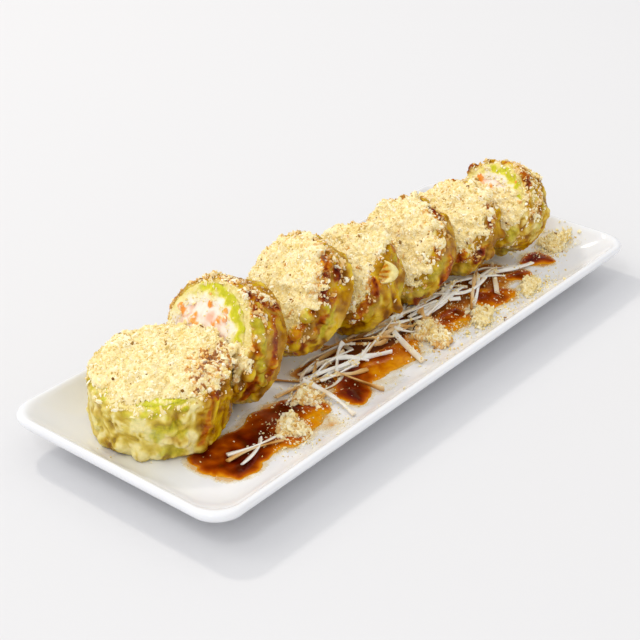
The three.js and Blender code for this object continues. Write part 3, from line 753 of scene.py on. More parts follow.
# %% [markdown]
# ## The fried batter
# Tempura batter sets in soft knobs and folds, thick where it ran and thin over the
# avocado. Each crust starts as the solid's own ring, so it keeps its place and the dents
# of its neighbours. Lumps are laid on its skin by a seeded draw, and listed one by one
# where the real ones stand out. On the fourth roll the crumbs leave the batter bare, with
# a drop of sauce on it, and crumbs lie thick on the sides of most rolls.

# %% Lumps and marks in the batter
# Direction, distance along the axis, size and lift of the lumps that stand out
LUMPS = {
    1: [(-53, 2, 4.2, 0), (-66, 6, 3.6, 0), (-40, 6, 3.4, 0), (-62, -9, 4.6, -1),
        (-118, -10, 3.2, 0.6), (-1, 5.5, 3.4, 0.4), (-100, -9, 4, 0), (-80, -11, 4.4, 0),
        (-30, -12, 3.6, 0.4)],
    2: [(2, 11, 3.4, 0), (-16, 10, 4.2, 0.6), (-33, 9, 3.8, 0), (-47, 2, 4.2, 0.4),
        (-40, -7, 3.8, 0.6), (33, 11, 2.6, 0), (17, 9.7, 2.9, 0.8), (5, 7.5, 2.9, 1),
        (-8, 4, 2.9, 1), (-21, -1, 3, 1)],
    3: [(-36, 2.5, 4.4, 1.4), (-38, -3, 4, 1.2), (-4, 8, 3.6, 0.6), (3, -1, 3.6, 0),
        (-16, 0, 3.8, 0.4), (45, 1, 2.8, 0.4), (-24, 7, 3.2, 0.6)],
    4: [(-10, 5, 4.2, 0.8), (-24, 2.4, 4.6, 0.8), (-4, -1, 3.8, 1), (2, -7, 3.4, 2),
        (0, -10, 2.6, 3), (-34, 4, 4, 0.4)],
    5: [(2, 1, 4.2, 0.6), (-17, 1, 4.6, 0.8), (-48, -6, 3.6, 0.8), (-34, -2, 4, 0.6),
        (13, -4, 3.2, 0.4)],
    6: [(7, 1.5, 4, 0.8), (-14, -2, 3.8, 0.6), (-38, -4.6, 4.2, 0.6), (-23, -2.5, 3.6, 0.6),
        (30, 5, 3, 0)],
    7: [(-53, 9, 3.6, 0.6), (-2, -3, 3.6, 0.4), (18, -2, 3.2, 0.4), (-37, 8, 4, 0.6),
        (143, 10, 3, 0.4), (55, 11, 2.8, 0), (-20, 4, 3.6, 0.2)],
}
# On a cut face: direction, distance from the axis and along it, and size
FACE_LUMPS = {
    4: [(7, 22.2, 9.2, 1.5), (4, 22.7, 8.6, 1.7), (1, 23.2, 8, 1.9), (-3, 23.8, 7.2, 2),
        (34, 21.8, 8.4, 2.4), (24, 21, 8.8, 2.6), (14, 20.6, 8.8, 2.4), (44, 22, 7.4, 2.4)],
}
# How deep each roll's folds are: thick sauce evens the middle ones out
FOLD_DEPTH = {1: 0.46, 2: 0.7, 3: 0.6, 4: 0.55, 5: 0.55, 6: 0.65, 7: 0.8}
# How much of each roll's side has thin sauce on it
AMBER_SHARE = {1: -0.12, 2: 0.95, 3: 1.0, 4: 1.05, 5: 1.0, 6: 0.95, 7: 0.8}
# The drop of sauce, the gold batter by it, and where that roll's crumbs are missing
DROPS = {
    4: [([(6, 9.4, 22.4), (2, 8.3, 23.4), (-3, 7.1, 24.4)], 2, 1)],
}
GOLD_RUNS = {
    4: [([(50, 5, 24), (32, 9, 22.6), (12, 9.6, 21)], 4, 0.95)],
}
CLEAR_RUNS = {
    4: [([(45, 4.4), (30, 9.5, 23.4), (18, 10.2, 22)], 3, 1),
        ([(10, 10.2, 22), (3, 8.3, 23), (-4, 7, 24.3)], 2.4, 1)],
}
# Places on the sides where crumbs lie thick
CRUSTED = {
    2: [([(112, 9), (92, 8), (74, 5), (62, 0)], 6.5, 1.3), ([(34, 9), (44, 8)], 2.6, 0.8)],
    3: [([(66, 1), (50, -4)], 5, 0.7), ([(34, 7), (20, 7)], 2.4, 0.6), ([(-38, 5)], 3, 0.5),
        ([(24, 2), (14, 4)], 2.4, 0.7), ([(-14, 4), (-26, 2)], 2.6, 0.7)],
    4: [([(64, 2), (56, -3)], 4, 0.6), ([(-30, 6), (-44, 4)], 3, 0.6), ([(-12, 7)], 2.2, 0.7)],
    5: [([(58, 3), (30, 3), (8, 5)], 4.2, 0.8), ([(-20, 5), (-40, 3)], 3.4, 0.6)],
    6: [([(58, 4), (30, 4), (8, 5)], 5, 0.8), ([(-14, 4), (-30, 2)], 4, 0.6)],
    7: [([(100, 9), (60, 8), (30, 7), (0, 7)], 5.5, 1), ([(50, 0), (24, 1), (4, 0)], 5, 0.8),
        ([(-30, 4), (-44, 2)], 3.5, 0.5), ([(70, -6), (96, 0)], 6, 0.6)],
}
print("lumps set by hand:", sum(map(len, LUMPS.values())))

# %% [markdown]
# The melted skin has to be fine enough for knobs of two millimetres. The rolls under thick
# sauce are smoothed more, because the sauce fills the gaps between their knobs.

# %% The melted skin
RANDOM_LUMPS = 18
SMALL_CLUMPS = 12
CRUST_VOXEL = 0.58
PALE_SMOOTH, SAUCED_SMOOTH = 2, 5


def crust_mesh(number, roll):
    """The melted skin of one roll, before its fine relief."""
    random = np.random.default_rng(100 + number)
    mesh, shape = solid_copy(f"roll_{number}_crust")
    radius, (low, high) = roll["radius"], ends_of(roll)
    for _ in range(RANDOM_LUMPS):
        direction, along = random.uniform(0, 360), random.uniform(low + 2, high - 2)
        size = random.uniform(2.0, 4.2)
        stretch = random.uniform(0.75, 1.35, 3)
        add_lump(shape, roll_point(roll, direction, radius - size * 0.62, along), size, stretch)
    for _ in range(SMALL_CLUMPS):
        direction, along = random.uniform(0, 360), high - 1.6 - random.exponential(4.0)
        for _ in range(random.integers(2, 8)):
            size = random.uniform(0.8, 1.7)
            place = min(max(along + random.normal(0, 1.6), low + 2), high - 1.2)
            spot = roll_point(roll, direction + random.normal(0, 4),
                              radius + random.uniform(-0.9, -0.1), place)
            add_lump(shape, spot, size, random.uniform(0.8, 1.3, 3))
    for direction, along, size, lift in LUMPS[number]:
        add_lump(shape, roll_point(roll, direction, radius + (lift - size * 0.55), along), size)
    for direction, reach, along, size in FACE_LUMPS.get(number, []):
        add_lump(shape, roll_point(roll, direction, reach - 0.5 * size, along), size)
    return melted(mesh, shape, CRUST_VOXEL,
                  PALE_SMOOTH if number in PALE_ROLLS else SAUCED_SMOOTH)


# %% [markdown]
# The relief adds four things: folds that bend with a second field of bumps, small knobs in
# ragged places, crisp narrow creases and a fine grain. Sauce swells the skin where it runs.
# What the material reads is kept beside it, and so is how thick the crumbs lie. On the two
# open rolls the cut rim is browned towards the upper left.

# %% Relief and colour fields
BROWNED_DIRECTION = math.radians(150)


def shape_crust(number, roll):
    """Adds the relief and what the material reads: sauce, amber, green, cut, fold and dust."""
    mesh = crust_mesh(number, roll)
    points, normals = points_of(mesh), normals_of(mesh)
    local, radius, (low, high) = to_roll(roll, points), roll["radius"], ends_of(roll)
    reach = np.hypot(local[:, 0], local[:, 1])
    skin = ease(reach, radius * 0.84, radius * 0.95)

    def field(size, step):
        return bumps(points, size, number + step)

    def runs(table, step):
        return run_strength(roll, local, table.get(number, []), step + number)

    sauce = np.maximum(runs(SAUCE_RUNS, 10) * skin, runs(DROPS, 70))
    green, gold = runs(GREEN_RUNS, 30), runs(GOLD_RUNS, 72)
    broad, ragged = field(7.5, 0), ease(field(8.5, 170), -0.25, 0.45)
    bent = points + 2.6 * np.column_stack([field(6.5, step) for step in (140, 150, 160)])
    middle = np.sqrt(bumps(bent * np.array([1, 1, 0.72]), 6.2, number + 20) ** 2 + 0.012)
    small, fine = bumps(bent, 2.6, number + 130), field(1.2, 40)
    crisp = np.sqrt(bumps(bent, 1.9, number + 300) ** 2 + 0.01) - 0.25
    rough = FOLD_DEPTH[number] * (0.55 + 0.7 * ease(field(16, 190), -0.3, 0.4))
    drips = bumps(bent * np.array([1, 1, 0.3]), 4.4, number + 250) * ease(-local[:, 1], -8, 6)
    # The near right side of the first roll has long drips, and a golden tint of thin sauce
    # and painted shade, as that side faces away from the light
    near = ease(-points[:, 1], 0, 8) * ease(points[:, 0], -116, -104) * (number == 1)
    if number in PALE_ROLLS:
        fold = (1.3 * (middle - 0.3) + (0.3 + 0.5 * ragged) * small + 0.6 * broad) * (
            1 - 0.5 * near) + 1.2 * drips * near
    else:
        fold = 1.3 * (middle - 0.3) + 0.42 * ragged * small + 0.4 * broad + 1.1 * drips
    push = (skin * (1.15 * rough * fold + (0.08 + 0.24 * ragged) * fine
                    + (0.2 + 0.35 * ragged) * crisp)
            + (1 - skin) * (0.6 * (middle - 0.28) + 0.2 * fine))
    if number in PALE_ROLLS:
        push += 0.55 * skin * ragged * np.maximum(field(1.9, 280), 0)
    push = np.maximum(push + 0.45 * sauce, -0.35 * wall_behind(mesh, 4.0))

    streak = bumps(points * np.array([1, 1, 0.4]), 6.0, number + 90)
    # The near term is partly painted shade: it deepens the amber on the side away from the light.
    amber = AMBER_SHARE[number] + 0.85 * streak + 0.3 * broad - 0.3 * fold + 1.5 * near
    amber = np.clip(amber, 0.0 if number in PALE_ROLLS else 0.9, 1.0) * skin * (1 - 0.7 * green)

    points = push_out(mesh, push, 0.12)
    open_face = ease(local[:, 2], high - 1.0, high - 0.2) * (
        1 - ease(reach, radius - 2.4, radius - 0.6))
    edge_run = 2.2 + 3.4 * ease(field(6.0, 260), -0.2, 0.6)
    rim = np.exp(-((high - local[:, 2]) / edge_run) ** 2) * skin
    lit = ease(normals[:, 2], 0.4, 0.9)
    dust = np.clip(rim * ease(normals[:, 2], -0.1, 0.6) + 0.4 * lit * ease(local[:, 2], low, high)
                   + (0.3 if number in OPEN_ROLLS else 1.0) * open_face, 0, 1)
    dust *= np.maximum(ease(field(4.0, 60), -0.3, 0.4), 0.5 * open_face)
    stuck = sauce * ease(normals[:, 2], -0.2, 0.5) * ease(field(2.6, 270), -0.1, 0.4)
    dust = np.clip(dust + 0.5 * stuck, 0, 1) * (1 - 0.85 * ease(green, 0.25, 0.7))
    thick = runs(CRUSTED, 80) * skin * ease(field(3.2, 290), -0.15, 0.3)
    dust = np.maximum(dust, thick) * (1 - runs(CLEAR_RUNS, 75))

    cut = open_face * (1 - ease(green, 0.2, 0.7)) * (1 - ease(gold, 0.2, 0.7))
    if number in OPEN_ROLLS:
        turned = np.cos(np.arctan2(local[:, 1], local[:, 0]) - BROWNED_DIRECTION)
        cut *= 1 - 0.85 * ease(turned, 0.35, 0.85) * ease(reach, radius * 0.8, radius * 0.9)
    # The fold value kept for the material paints shade into the creases and light on the ridges.
    store(mesh, sauce=sauce, amber=np.maximum(amber, gold), green=green, cut=cut,
          fold=np.clip(0.5 + 0.8 * fold, 0, 1), dust=dust)
    return mesh


# %% [markdown]
# A curl of batter stands open on the fourth roll: a pale lip round a folded cup with sauce
# in it. It is a sheet between a rim and a root, given as steps to the right and up in the
# picture plane from its middle, from the top round to the lower left, with a height
# towards the camera at each share of the way in.

# %% The curl
CURL_MIDDLE = np.array([9.6, -14.3, 44.3])
CURL_RIM = [(-1.8, 4.9), (1.5, 3.4), (3.9, 1.3), (4.6, -0.8), (3.8, -3.1), (1.8, -4.9),
            (-0.8, -5.6), (-4.6, -5.9)]
CURL_ROOT = [(-1.6, 3.4), (-2.4, 1.7), (-3.5, 0.1), (-4.1, -1.2), (-4.3, -2.2), (-4.5, -3.2),
             (-4.7, -4.1), (-5, -4.8)]
CURL_HEIGHTS = ([0, 0.1, 0.28, 0.46, 0.7, 1], [0.2, 1.5, 1.9, 0.8, 0.5, 0.9])
CURL_FOLDS = 4.5
CURL_WALL = 1.6
CURL_ROWS, CURL_COLUMNS = 41, 17
CURL_VOXEL = 0.32


def curl_mesh():
    """The open curl: a pale rolled lip round a folded cup that the sauce has tinted."""
    round_it, inward = grid(np.linspace(0, 1, CURL_ROWS), np.linspace(0, 1, CURL_COLUMNS)).T
    row = np.repeat(np.arange(CURL_ROWS), CURL_COLUMNS)
    rim, root = (smooth_line(stops, CURL_ROWS)[row] for stops in (CURL_RIM, CURL_ROOT))
    plane = rim * (1 - inward)[:, None] + root * inward[:, None]
    ridge = np.sin(2 * math.pi * CURL_FOLDS * round_it + 0.6) * ease(inward, 0.25, 0.5)
    ends = ease(round_it, 0, 0.16) * (1 - ease(round_it, 0.82, 1))
    out = np.interp(inward, *CURL_HEIGHTS) * (0.35 + 0.65 * ends) + 0.32 * ridge
    axes = np.array([CAMERA_RIGHT, CAMERA_UP, [-v for v in CAMERA_FORWARD]])
    front = np.column_stack([plane, out])
    back = np.column_stack([plane * 0.94, out - CURL_WALL])
    sheet = slab("curl", CURL_MIDDLE + front @ axes, CURL_MIDDLE + back @ axes,
                 squares(CURL_ROWS, CURL_COLUMNS))
    shape = bmesh.new()
    shape.from_mesh(sheet)
    mesh = melted(sheet, shape, CURL_VOXEL, 2)
    points = points_of(mesh)
    points = points + normals_of(mesh) * (0.14 * bumps(points, 1.4, 4))[:, None]
    set_points(mesh, points)
    nearest = np.array([np.argmin(((front - spot) ** 2).sum(1))
                        for spot in (points - CURL_MIDDLE) @ axes.T])
    cup, ridge = ease(inward[nearest], 0.34, 0.56), ridge[nearest]
    # The cup's lower fold value paints a little shade into it.
    store(mesh, sauce=cup * (0.05 + 0.34 * ease(-ridge, -0.2, 0.7)), amber=0.75 * cup,
          fold=0.85 - 0.1 * cup, cut=0.6 * (1 - cup))
    return mesh


# %% [markdown]
# The batter is starch and egg fried in oil. It is pale cream where thick, yellow-green
# over the avocado and golden where it browned. Its folds are painted darker and its ridges
# paler, which is painted shade. Light goes a little way into it, so it has some scatter
# under the skin, and a thin film of oil gives it a soft shine. Sauce over it is darker,
# redder and much glossier: it multiplies the colour below, as a clear syrup does.

# %% Fried batter
BATTER_PATCH = 9.0
BATTER_GRAIN = 1.7

batter = Recipe("fried_tempura_batter")
sauce, green, cut, fold, amber = (
    batter.read(name) for name in ("sauce", "green", "cut", "fold", "amber"))
patches = batter.total(batter.noise(BATTER_PATCH, 2.5, Roughness=0.5), 0.62)
# The fold value makes creases darker and ridges paler: painted shade over the batter's patches.
colour = batter.ramp(batter.total(fold, 0.42, patches), (0.28, "#A08420"), (0.41, "#CCAE3A"),
                     (0.53, "#E6D068"), (0.66, "#F6E8A4"))
leaf = batter.ramp(batter.noise(2.5, 3.0), (0.3, "#9A9A14"), (0.5, "#C4BE1A"), (0.72, "#E6D840"))
colour = batter.lay(batter.total(green, 0.92), colour, leaf)
# Under thin sauce the fold value paints the same shade into the creases.
honey = batter.total(fold, 0.45, batter.total(batter.noise(5.5, 2.5), 0.6))
honey = batter.ramp(honey, (0.26, "#7A4800"), (0.38, "#9A6200"), (0.5, "#B68000"),
                    (0.62, "#CC9E00"), (0.76, "#DEBA12"))
colour = batter.lay(amber, colour, honey)
toasted = batter.span(batter.noise(5.5, 5.0, Distortion=0.6), 0.58, 0.72, 0.0, 0.22)
colour = batter.lay(toasted, colour, srgb("#B7862B"))
inside = batter.ramp(batter.noise(1.6, 3.0), (0.35, "#E2CC74"), (0.65, "#F2E4A2"))
colour = batter.lay(cut, colour, inside)
glaze = batter.span(batter.total(batter.noise(2.2, 3.0), 1.5, sauce), 0.7, 2.15)
glaze = batter.ramp(glaze, (0.05, "#FFE690"), (0.25, "#F4BC40"), (0.45, "#DC8C1C"),
                    (0.62, "#B45C0A"), (0.78, "#823406"), (0.95, "#4C1C04"))
colour = batter.lay(batter.span(sauce, 0.02, 0.2), colour, glaze, blend_type="MULTIPLY")
wet = add(batter.tree, "ShaderNodeMath", {0: sauce, 1: amber}, operation="MAXIMUM").outputs[0]
fried_batter = batter.done({
    "Base Color": colour, "Roughness": batter.span(wet, 0.0, 0.6, 0.48, 0.16),
    "Normal": batter.relief(BATTER_GRAIN, 3.0, 0.7, 1.1), "Specular IOR Level": 0.2,
    "Coat Weight": 0.14, "Coat Roughness": 0.16, **light_inside(0.15, 1.2, 0.9, 0.5)})

# %% [markdown]
# The crusts are kept for now. The crumbs are laid on copies of them, and the batter's own
# pieces are finished after that.

# %% Make the crusts
crusts = {number: shape_crust(number, roll) for number, roll in enumerate(ROLLS, 1)}
print("points on the crust skins:", [len(mesh.vertices) for mesh in crusts.values()])

# %% [markdown]
# ## Avocado and filling
# Under the batter is a ring of avocado, thick on one side, greener towards its skin. It
# holds a filling of shredded crab stick, white and pink, with orange flecks. Both are
# copies of the solid's own layers, melted to a fine skin and swollen a little to close the
# seam between them. The filling gets fibres and small chunks that stand out of the cut.

# %% Orange flecks
# Flecks on the open faces: right and up from the roll's axis, and size
FLECKS = {
    2: [(-18, 6.7, 1.7), (-16.4, 5.2, 1.3), (-10.6, 4, 2), (-8.6, 3, 1.4), (4.5, 12.2, 1.6),
        (5.6, 9.8, 1.2), (-5.5, 16.4, 1.1), (2.9, 8.2, 1.5), (1.2, 6.2, 1.3)],
    7: [(-9.9, 9.1, 1.8), (-7.2, 6.8, 1.3), (0.2, 2.9, 1.7), (-3.5, 4.4, 1.3), (6.2, 6.8, 1.4),
        (9.4, 12.6, 1.2)],
}
HIDDEN_FLECKS = 14
OPEN_VOXEL, COVERED_VOXEL = 0.55, 0.9


def fleck_places(number, roll):
    """The orange pieces of one filling: drawn ones, and those that stand out."""
    random = np.random.default_rng(200 + number)
    middle, radius = filling_place(roll), roll["radius"] * FILLING_SHARE
    flecks = []
    for _ in range(HIDDEN_FLECKS):
        angle, reach = random.uniform(0, 2 * math.pi), radius * math.sqrt(random.uniform(0, 0.85))
        spot = middle + reach * np.array([math.cos(angle), math.sin(angle)])
        flecks.append((*spot, random.uniform(0.7, 1.2)))
    return flecks + FLECKS.get(number, [])


print("flecks in the second roll:", len(fleck_places(2, ROLLS[1])))

# %% [markdown]
# A cut through soft food is never flat: the knife drags the layers, so they stand out a
# little and swell over their edges. Bumps of several sizes do that here.

# %% A layer's skin
def layer_mesh(number, roll, layer):
    """A layer as a fine skin, uneven on the cut face and swollen at its edge there."""
    low, high = ends_of(roll)
    is_filling, is_open = layer == "filling", number in OPEN_ROLLS
    mesh, shape = solid_copy(f"roll_{number}_{layer}")
    for right, up, size in fleck_places(number, roll) if is_filling else []:
        add_lump(shape, from_roll(roll, [right, up, high - 0.5 - size * 0.25]), size)
        add_lump(shape, from_roll(roll, [right + 1, up - 1, low + size * 0.4]), size)
    mesh = melted(mesh, shape, OPEN_VOXEL if is_open else COVERED_VOXEL, 2)
    points, normals = points_of(mesh), normals_of(mesh)
    local, axes = to_roll(roll, points), roll_axes(roll)
    fibres = bumps(local * np.array([1, 0.6, 1]), 2.0, number + 70)
    push = 0.22 + 0.35 * fibres + 0.3 * bumps(points, 3.2, number + 80)
    points = points + normals * push[:, None]
    face = ease(local[:, 2], high - 1.6, high - 0.6)
    points = points + axes[2] * (face * (0.45 + 0.35 * bumps(points, 4, number)))[:, None]
    away = local[:, :2] - (filling_place(roll) if is_filling else np.array(roll["off"]))
    reach = np.linalg.norm(away, axis=1)
    edge = roll["radius"] * (FILLING_SHARE if is_filling else WRAP_SHARE)
    swell = face * ease(reach, edge - 2.0, edge - 0.4) * (
        (1.2 if is_open else 1.7) + 0.6 * bumps(points, 2.6, number + 85))
    points = points + (away / np.maximum(reach, 1)[:, None] * swell[:, None]) @ axes[:2]
    points[:, 2] = np.maximum(points[:, 2], glaze_under(points) + 0.15)
    if is_filling:
        set_points(mesh, points)
        fleck = np.zeros(len(local))
        for right, up, size in fleck_places(number, roll):
            away = np.linalg.norm(local[:, :2] - np.array([right, up]), axis=1)
            uneven = size * (0.95 + 1.1 * bumps(local, 1.5, number + 210))
            fleck = np.maximum(fleck, ease(uneven - away, -0.7, 0.7))
        store(mesh, fleck=fleck, fibre=0.5 + 0.5 * fibres)
        return mesh
    return ripened(number, roll, mesh, points, local, face)


# %% [markdown]
# Avocado is green only near its rind, and paler towards its stone. How far in a point lies
# between filling and batter gives that, with bumps that break the edge up.

# %% Ripe places of the avocado
def ripened(number, roll, mesh, points, local, face):
    """Closes the avocado's seam with the filling, and keeps its rind and its ripe places."""
    axes, inward = roll_axes(roll), local[:, :2] - filling_place(roll)
    inner = np.linalg.norm(inward, axis=1) - roll["radius"] * FILLING_SHARE
    outer = roll["radius"] * WRAP_SHARE - np.linalg.norm(
        local[:, :2] - np.array(roll["off"]), axis=1)
    share = inner / np.maximum(inner + outer, 0.5) + 0.3 * bumps(local, 3.2, number + 220)
    inward /= np.maximum(np.linalg.norm(inward, axis=1), 1)[:, None]
    closing = face * (1 - ease(inner, 0.3, 1.6))
    set_points(mesh, points - (inward * 1.3 * closing[:, None]) @ axes[:2]
               - axes[2] * (0.5 * closing)[:, None])
    if number in OPEN_ROLLS:
        turned = np.cos(np.arctan2(local[:, 1], local[:, 0])
                        - math.radians(roll["avocado"] - 20))
        side = ease(turned + 0.5 * bumps(local, 5.0, number + 230), -0.5, 0.35)
        ripe = ease(share, 0.24, 0.66) * (1 - ease(share, 0.84, 1.04)) * side
    else:
        ripe = ease(share, 0.18, 0.42)
    if number == 1:
        ripe *= ease(bumps(local, 2.0, 233) + 0.5 * bumps(local, 0.9, 234), -0.6, 0.0)
    store(mesh, rind=np.clip(share, 0, 1), ripe=ripe)
    return mesh


# %% [markdown]
# Avocado is soft fruit: nearly white at the filling, yellow deeper in and bright green
# under its rind, with broken edges between. The crab is wet white fibre, pink in patches,
# with orange flecks. Both shine like wet food, with light going into them.

# %% Avocado and crab
fruit = Recipe("ripe_avocado")
rind, mottle = fruit.read("rind"), fruit.noise(1.8, 3.0)
depth = fruit.total(rind, 0.6, fruit.total(mottle, 0.5))
pale = fruit.ramp(depth, (0.25, "#FDF2E6"), (0.42, "#FBF1D4"), (0.6, "#F5E9AC"), (0.8, "#EBDA80"))
lime = fruit.ramp(fruit.span(fruit.total(mottle, 0.9, rind), 0.4, 1.3), (0.1, "#F8EE98"),
                  (0.38, "#F4E460"), (0.6, "#E6DC34"), (0.9, "#CCC81A"))
broken = fruit.span(fruit.total(mottle, 0.8, fruit.read("ripe")), 0.6, 1.3)
ripe_avocado = fruit.done({
    "Base Color": fruit.lay(broken, pale, lime), "Roughness": 0.36,
    "Normal": fruit.relief(0.8, 2.0, 0.6, 0.5), **light_inside(0.3, 0.9, 0.9, 0.4)})

crab = Recipe("shredded_crab_filling")
blush = crab.noise(6.0, 4.0)
meat = crab.ramp(crab.total(crab.read("fibre"), 0.35, blush), (0.45, "#F2BFA4"),
                 (0.58, "#F8D6C2"), (0.72, "#FDEDE0"))
carrot = crab.ramp(blush, (0.35, "#F08C1E"), (0.55, "#F8A43A"), (0.7, "#FACB80"))
crab_filling = crab.done({
    "Base Color": crab.lay(crab.read("fleck"), meat, carrot), "Roughness": 0.4,
    "Normal": crab.relief(0.7, 3.0, 0.3, 0.3), **light_inside(0.25, 1.2, 0.9, 0.8)})

# %% [markdown]
# Copies of the faces that stay open are kept, because crumbs fall on them too.

# %% Make the layers
open_faces = {}
for number, roll in enumerate(ROLLS, 1):
    ring, middle = layer_mesh(number, roll, "avocado"), layer_mesh(number, roll, "filling")
    if number in OPEN_ROLLS:
        open_faces[number] = [ring.copy(), middle.copy()]
    elif number == 1:
        open_faces[number] = [ring.copy()]
    finish_piece(f"roll_{number}_avocado_ring", ring, ripe_avocado, "avocado",
                 f"roll_{number}_avocado")
    finish_piece(f"roll_{number}_crab", middle, crab_filling, "crab_filling",
                 f"roll_{number}_filling")

# %% [markdown]
# ## Crumbs by Geometry Nodes
# The topping is tempura flakes: dry, pale and ragged, mostly under 1.5 mm. One node tree
# scatters them on any skin. It makes five ragged grains, places them by the skin's own
# "dust" value, turns and sizes each by a fixed seed, gives each a tone, and keeps the
# skin below only where it is marked as crumb itself. It ends in real mesh.

# %% Helpers for trees of geometry nodes
# Where a random value node has its low end, its high end and its result
RANDOM_SOCKETS = {"FLOAT_VECTOR": (0, 1, 0), "FLOAT": (2, 3, 1), "INT": (4, 5, 2)}
RANDOM_SEED = 8


def new_tree(name, inputs, output):
    """A tree with named inputs and one output, and the sockets that carry the inputs."""
    tree = bpy.data.node_groups.new(name, "GeometryNodeTree")
    for title, kind in inputs.items():
        tree.interface.new_socket(title, in_out="INPUT", socket_type="NodeSocket" + kind)
    tree.interface.new_socket(output, in_out="OUTPUT", socket_type="NodeSocketGeometry")
    return tree, add(tree, "NodeGroupInput").outputs


def random_value(tree, kind, low, high, seed):
    """A value drawn for each point or instance by a seed."""
    start, end, result = RANDOM_SOCKETS[kind]
    return add(tree, "FunctionNodeRandomValue", {start: low, end: high, RANDOM_SEED: seed},
               data_type=kind).outputs[result]


def close_tree(tree, geometry, material):
    """Ends a tree: its instances become real mesh and take the material."""
    real = add(tree, "GeometryNodeRealizeInstances", {0: geometry}).outputs[0]
    coated = add(tree, "GeometryNodeSetMaterial", {"Geometry": real, "Material": material})
    add(tree, "NodeGroupOutput", {0: coated.outputs[0]})
    print("node tree:", tree.name, "with", len(tree.nodes), "nodes")


def with_modifier(mesh, tree, values):
    """Runs a node tree on a mesh with the named inputs and returns the plain result."""
    holder = new_object("holder", mesh)
    modifier = holder.modifiers.new("nodes", "NODES")
    modifier.node_group = tree
    for item in tree.interface.items_tree:
        if item.in_out == "INPUT" and item.name in values:
            modifier[item.identifier] = values[item.name]
    return evaluated(holder)


def joined(meshes):
    """Several meshes as one, with what is stored on their points."""
    holders = [new_object("part", mesh) for mesh in meshes]
    with bpy.context.temp_override(active_object=holders[0], object=holders[0],
                                   selected_objects=holders, selected_editable_objects=holders):
        bpy.ops.object.join()
    mesh = holders[0].data
    bpy.data.objects.remove(holders[0])
    return mesh


# %% [markdown]
# A grain starts as a small ball of 20 faces that noise pulls out of shape. Most grains have
# to be small, so the draw for the size is raised to a power before it becomes a radius.

# %% The grain tree
GRAIN_KINDS = 5
GRAIN_NOISE = 1.3
GRAIN_PULL = 2.0
MOSTLY_SMALL = 2.4
FULL_TURN = 6.283

grains, given = new_tree("crumb_grains", {
    "Skin": "Geometry", "Grains per mm2": "Float", "Smallest radius": "Float",
    "Largest radius": "Float", "Seed": "Int", "Material": "Material"}, "Crumbs")
dust, keep = (add(grains, "GeometryNodeInputNamedAttribute", {"Name": name},
                  data_type="FLOAT").outputs[0] for name in ("dust", "keep"))
density = add(grains, "ShaderNodeMath", {0: dust, 1: given["Grains per mm2"]},
              operation="MULTIPLY").outputs[0]
spread = add(grains, "GeometryNodeDistributePointsOnFaces", {
    "Mesh": given["Skin"], "Density": density, "Seed": given["Seed"]}, distribute_method="RANDOM")
shapes = add(grains, "GeometryNodeJoinGeometry")
where = add(grains, "GeometryNodeInputPosition").outputs[0]
for kind in range(GRAIN_KINDS):
    ball = add(grains, "GeometryNodeMeshIcoSphere", {"Radius": 1.0, "Subdivisions": 1})
    ragged = add(grains, "ShaderNodeTexNoise", {
        "Vector": where, "W": 3.7 * kind + 1, "Scale": GRAIN_NOISE, "Detail": 1.0},
        noise_dimensions="4D")
    centred = add(grains, "ShaderNodeVectorMath", {
        0: ragged.outputs["Color"], 1: (0.5, 0.5, 0.5)}, operation="SUBTRACT")
    pulled = add(grains, "ShaderNodeVectorMath", {0: centred.outputs[0], 3: GRAIN_PULL},
                 operation="SCALE")
    moved = add(grains, "GeometryNodeSetPosition", {
        "Geometry": ball.outputs[0], "Offset": pulled.outputs[0]})
    one = add(grains, "GeometryNodeGeometryToInstance", {0: moved.outputs[0]})
    grains.links.new(one.outputs[0], shapes.inputs[0])
seeds = [add(grains, "ShaderNodeMath", {0: given["Seed"], 1: float(step)},
             operation="ADD").outputs[0] for step in (1, 2, 3, 4, 5)]
pick = random_value(grains, "INT", 0, GRAIN_KINDS - 1, seeds[0])
turn = random_value(grains, "FLOAT_VECTOR", (0, 0, 0), (FULL_TURN,) * 3, seeds[1])
skewed = add(grains, "ShaderNodeMath", {
    0: random_value(grains, "FLOAT", 0.0, 1.0, seeds[2]), 1: MOSTLY_SMALL}, operation="POWER")
size = add(grains, "ShaderNodeMapRange", {
    0: skewed.outputs[0], 3: given["Smallest radius"], 4: given["Largest radius"]})
stretch = random_value(grains, "FLOAT_VECTOR", (0.6, 0.6, 0.4), (1.7, 1.2, 0.9), seeds[3])
scale = add(grains, "ShaderNodeVectorMath", {0: stretch, 3: size.outputs[0]}, operation="SCALE")
laid = add(grains, "GeometryNodeInstanceOnPoints", {
    "Points": spread.outputs["Points"], "Instance": shapes.outputs[0], "Pick Instance": True,
    "Instance Index": pick, "Rotation": turn, "Scale": scale.outputs[0]})
toned = add(grains, "GeometryNodeStoreNamedAttribute", {
    "Geometry": laid.outputs[0], "Name": "tone",
    "Value": random_value(grains, "FLOAT", 0.0, 1.0, seeds[4])},
    data_type="FLOAT", domain="INSTANCE")
bare_skin = add(grains, "FunctionNodeCompare", {0: keep, 1: 0.5}, data_type="FLOAT",
                operation="LESS_THAN")
core = add(grains, "GeometryNodeDeleteGeometry", {
    "Geometry": given["Skin"], "Selection": bare_skin.outputs[0]})
both = add(grains, "GeometryNodeJoinGeometry")
grains.links.new(toned.outputs[0], both.inputs[0])
grains.links.new(core.outputs[0], both.inputs[0])
close_tree(grains, both.outputs[0], given["Material"])

# %% [markdown]
# A flake is fried flour with air in it, so it is matt. Most are cream, some golden, and a
# few are burnt specks. Those that sauce reached turn amber and shine.

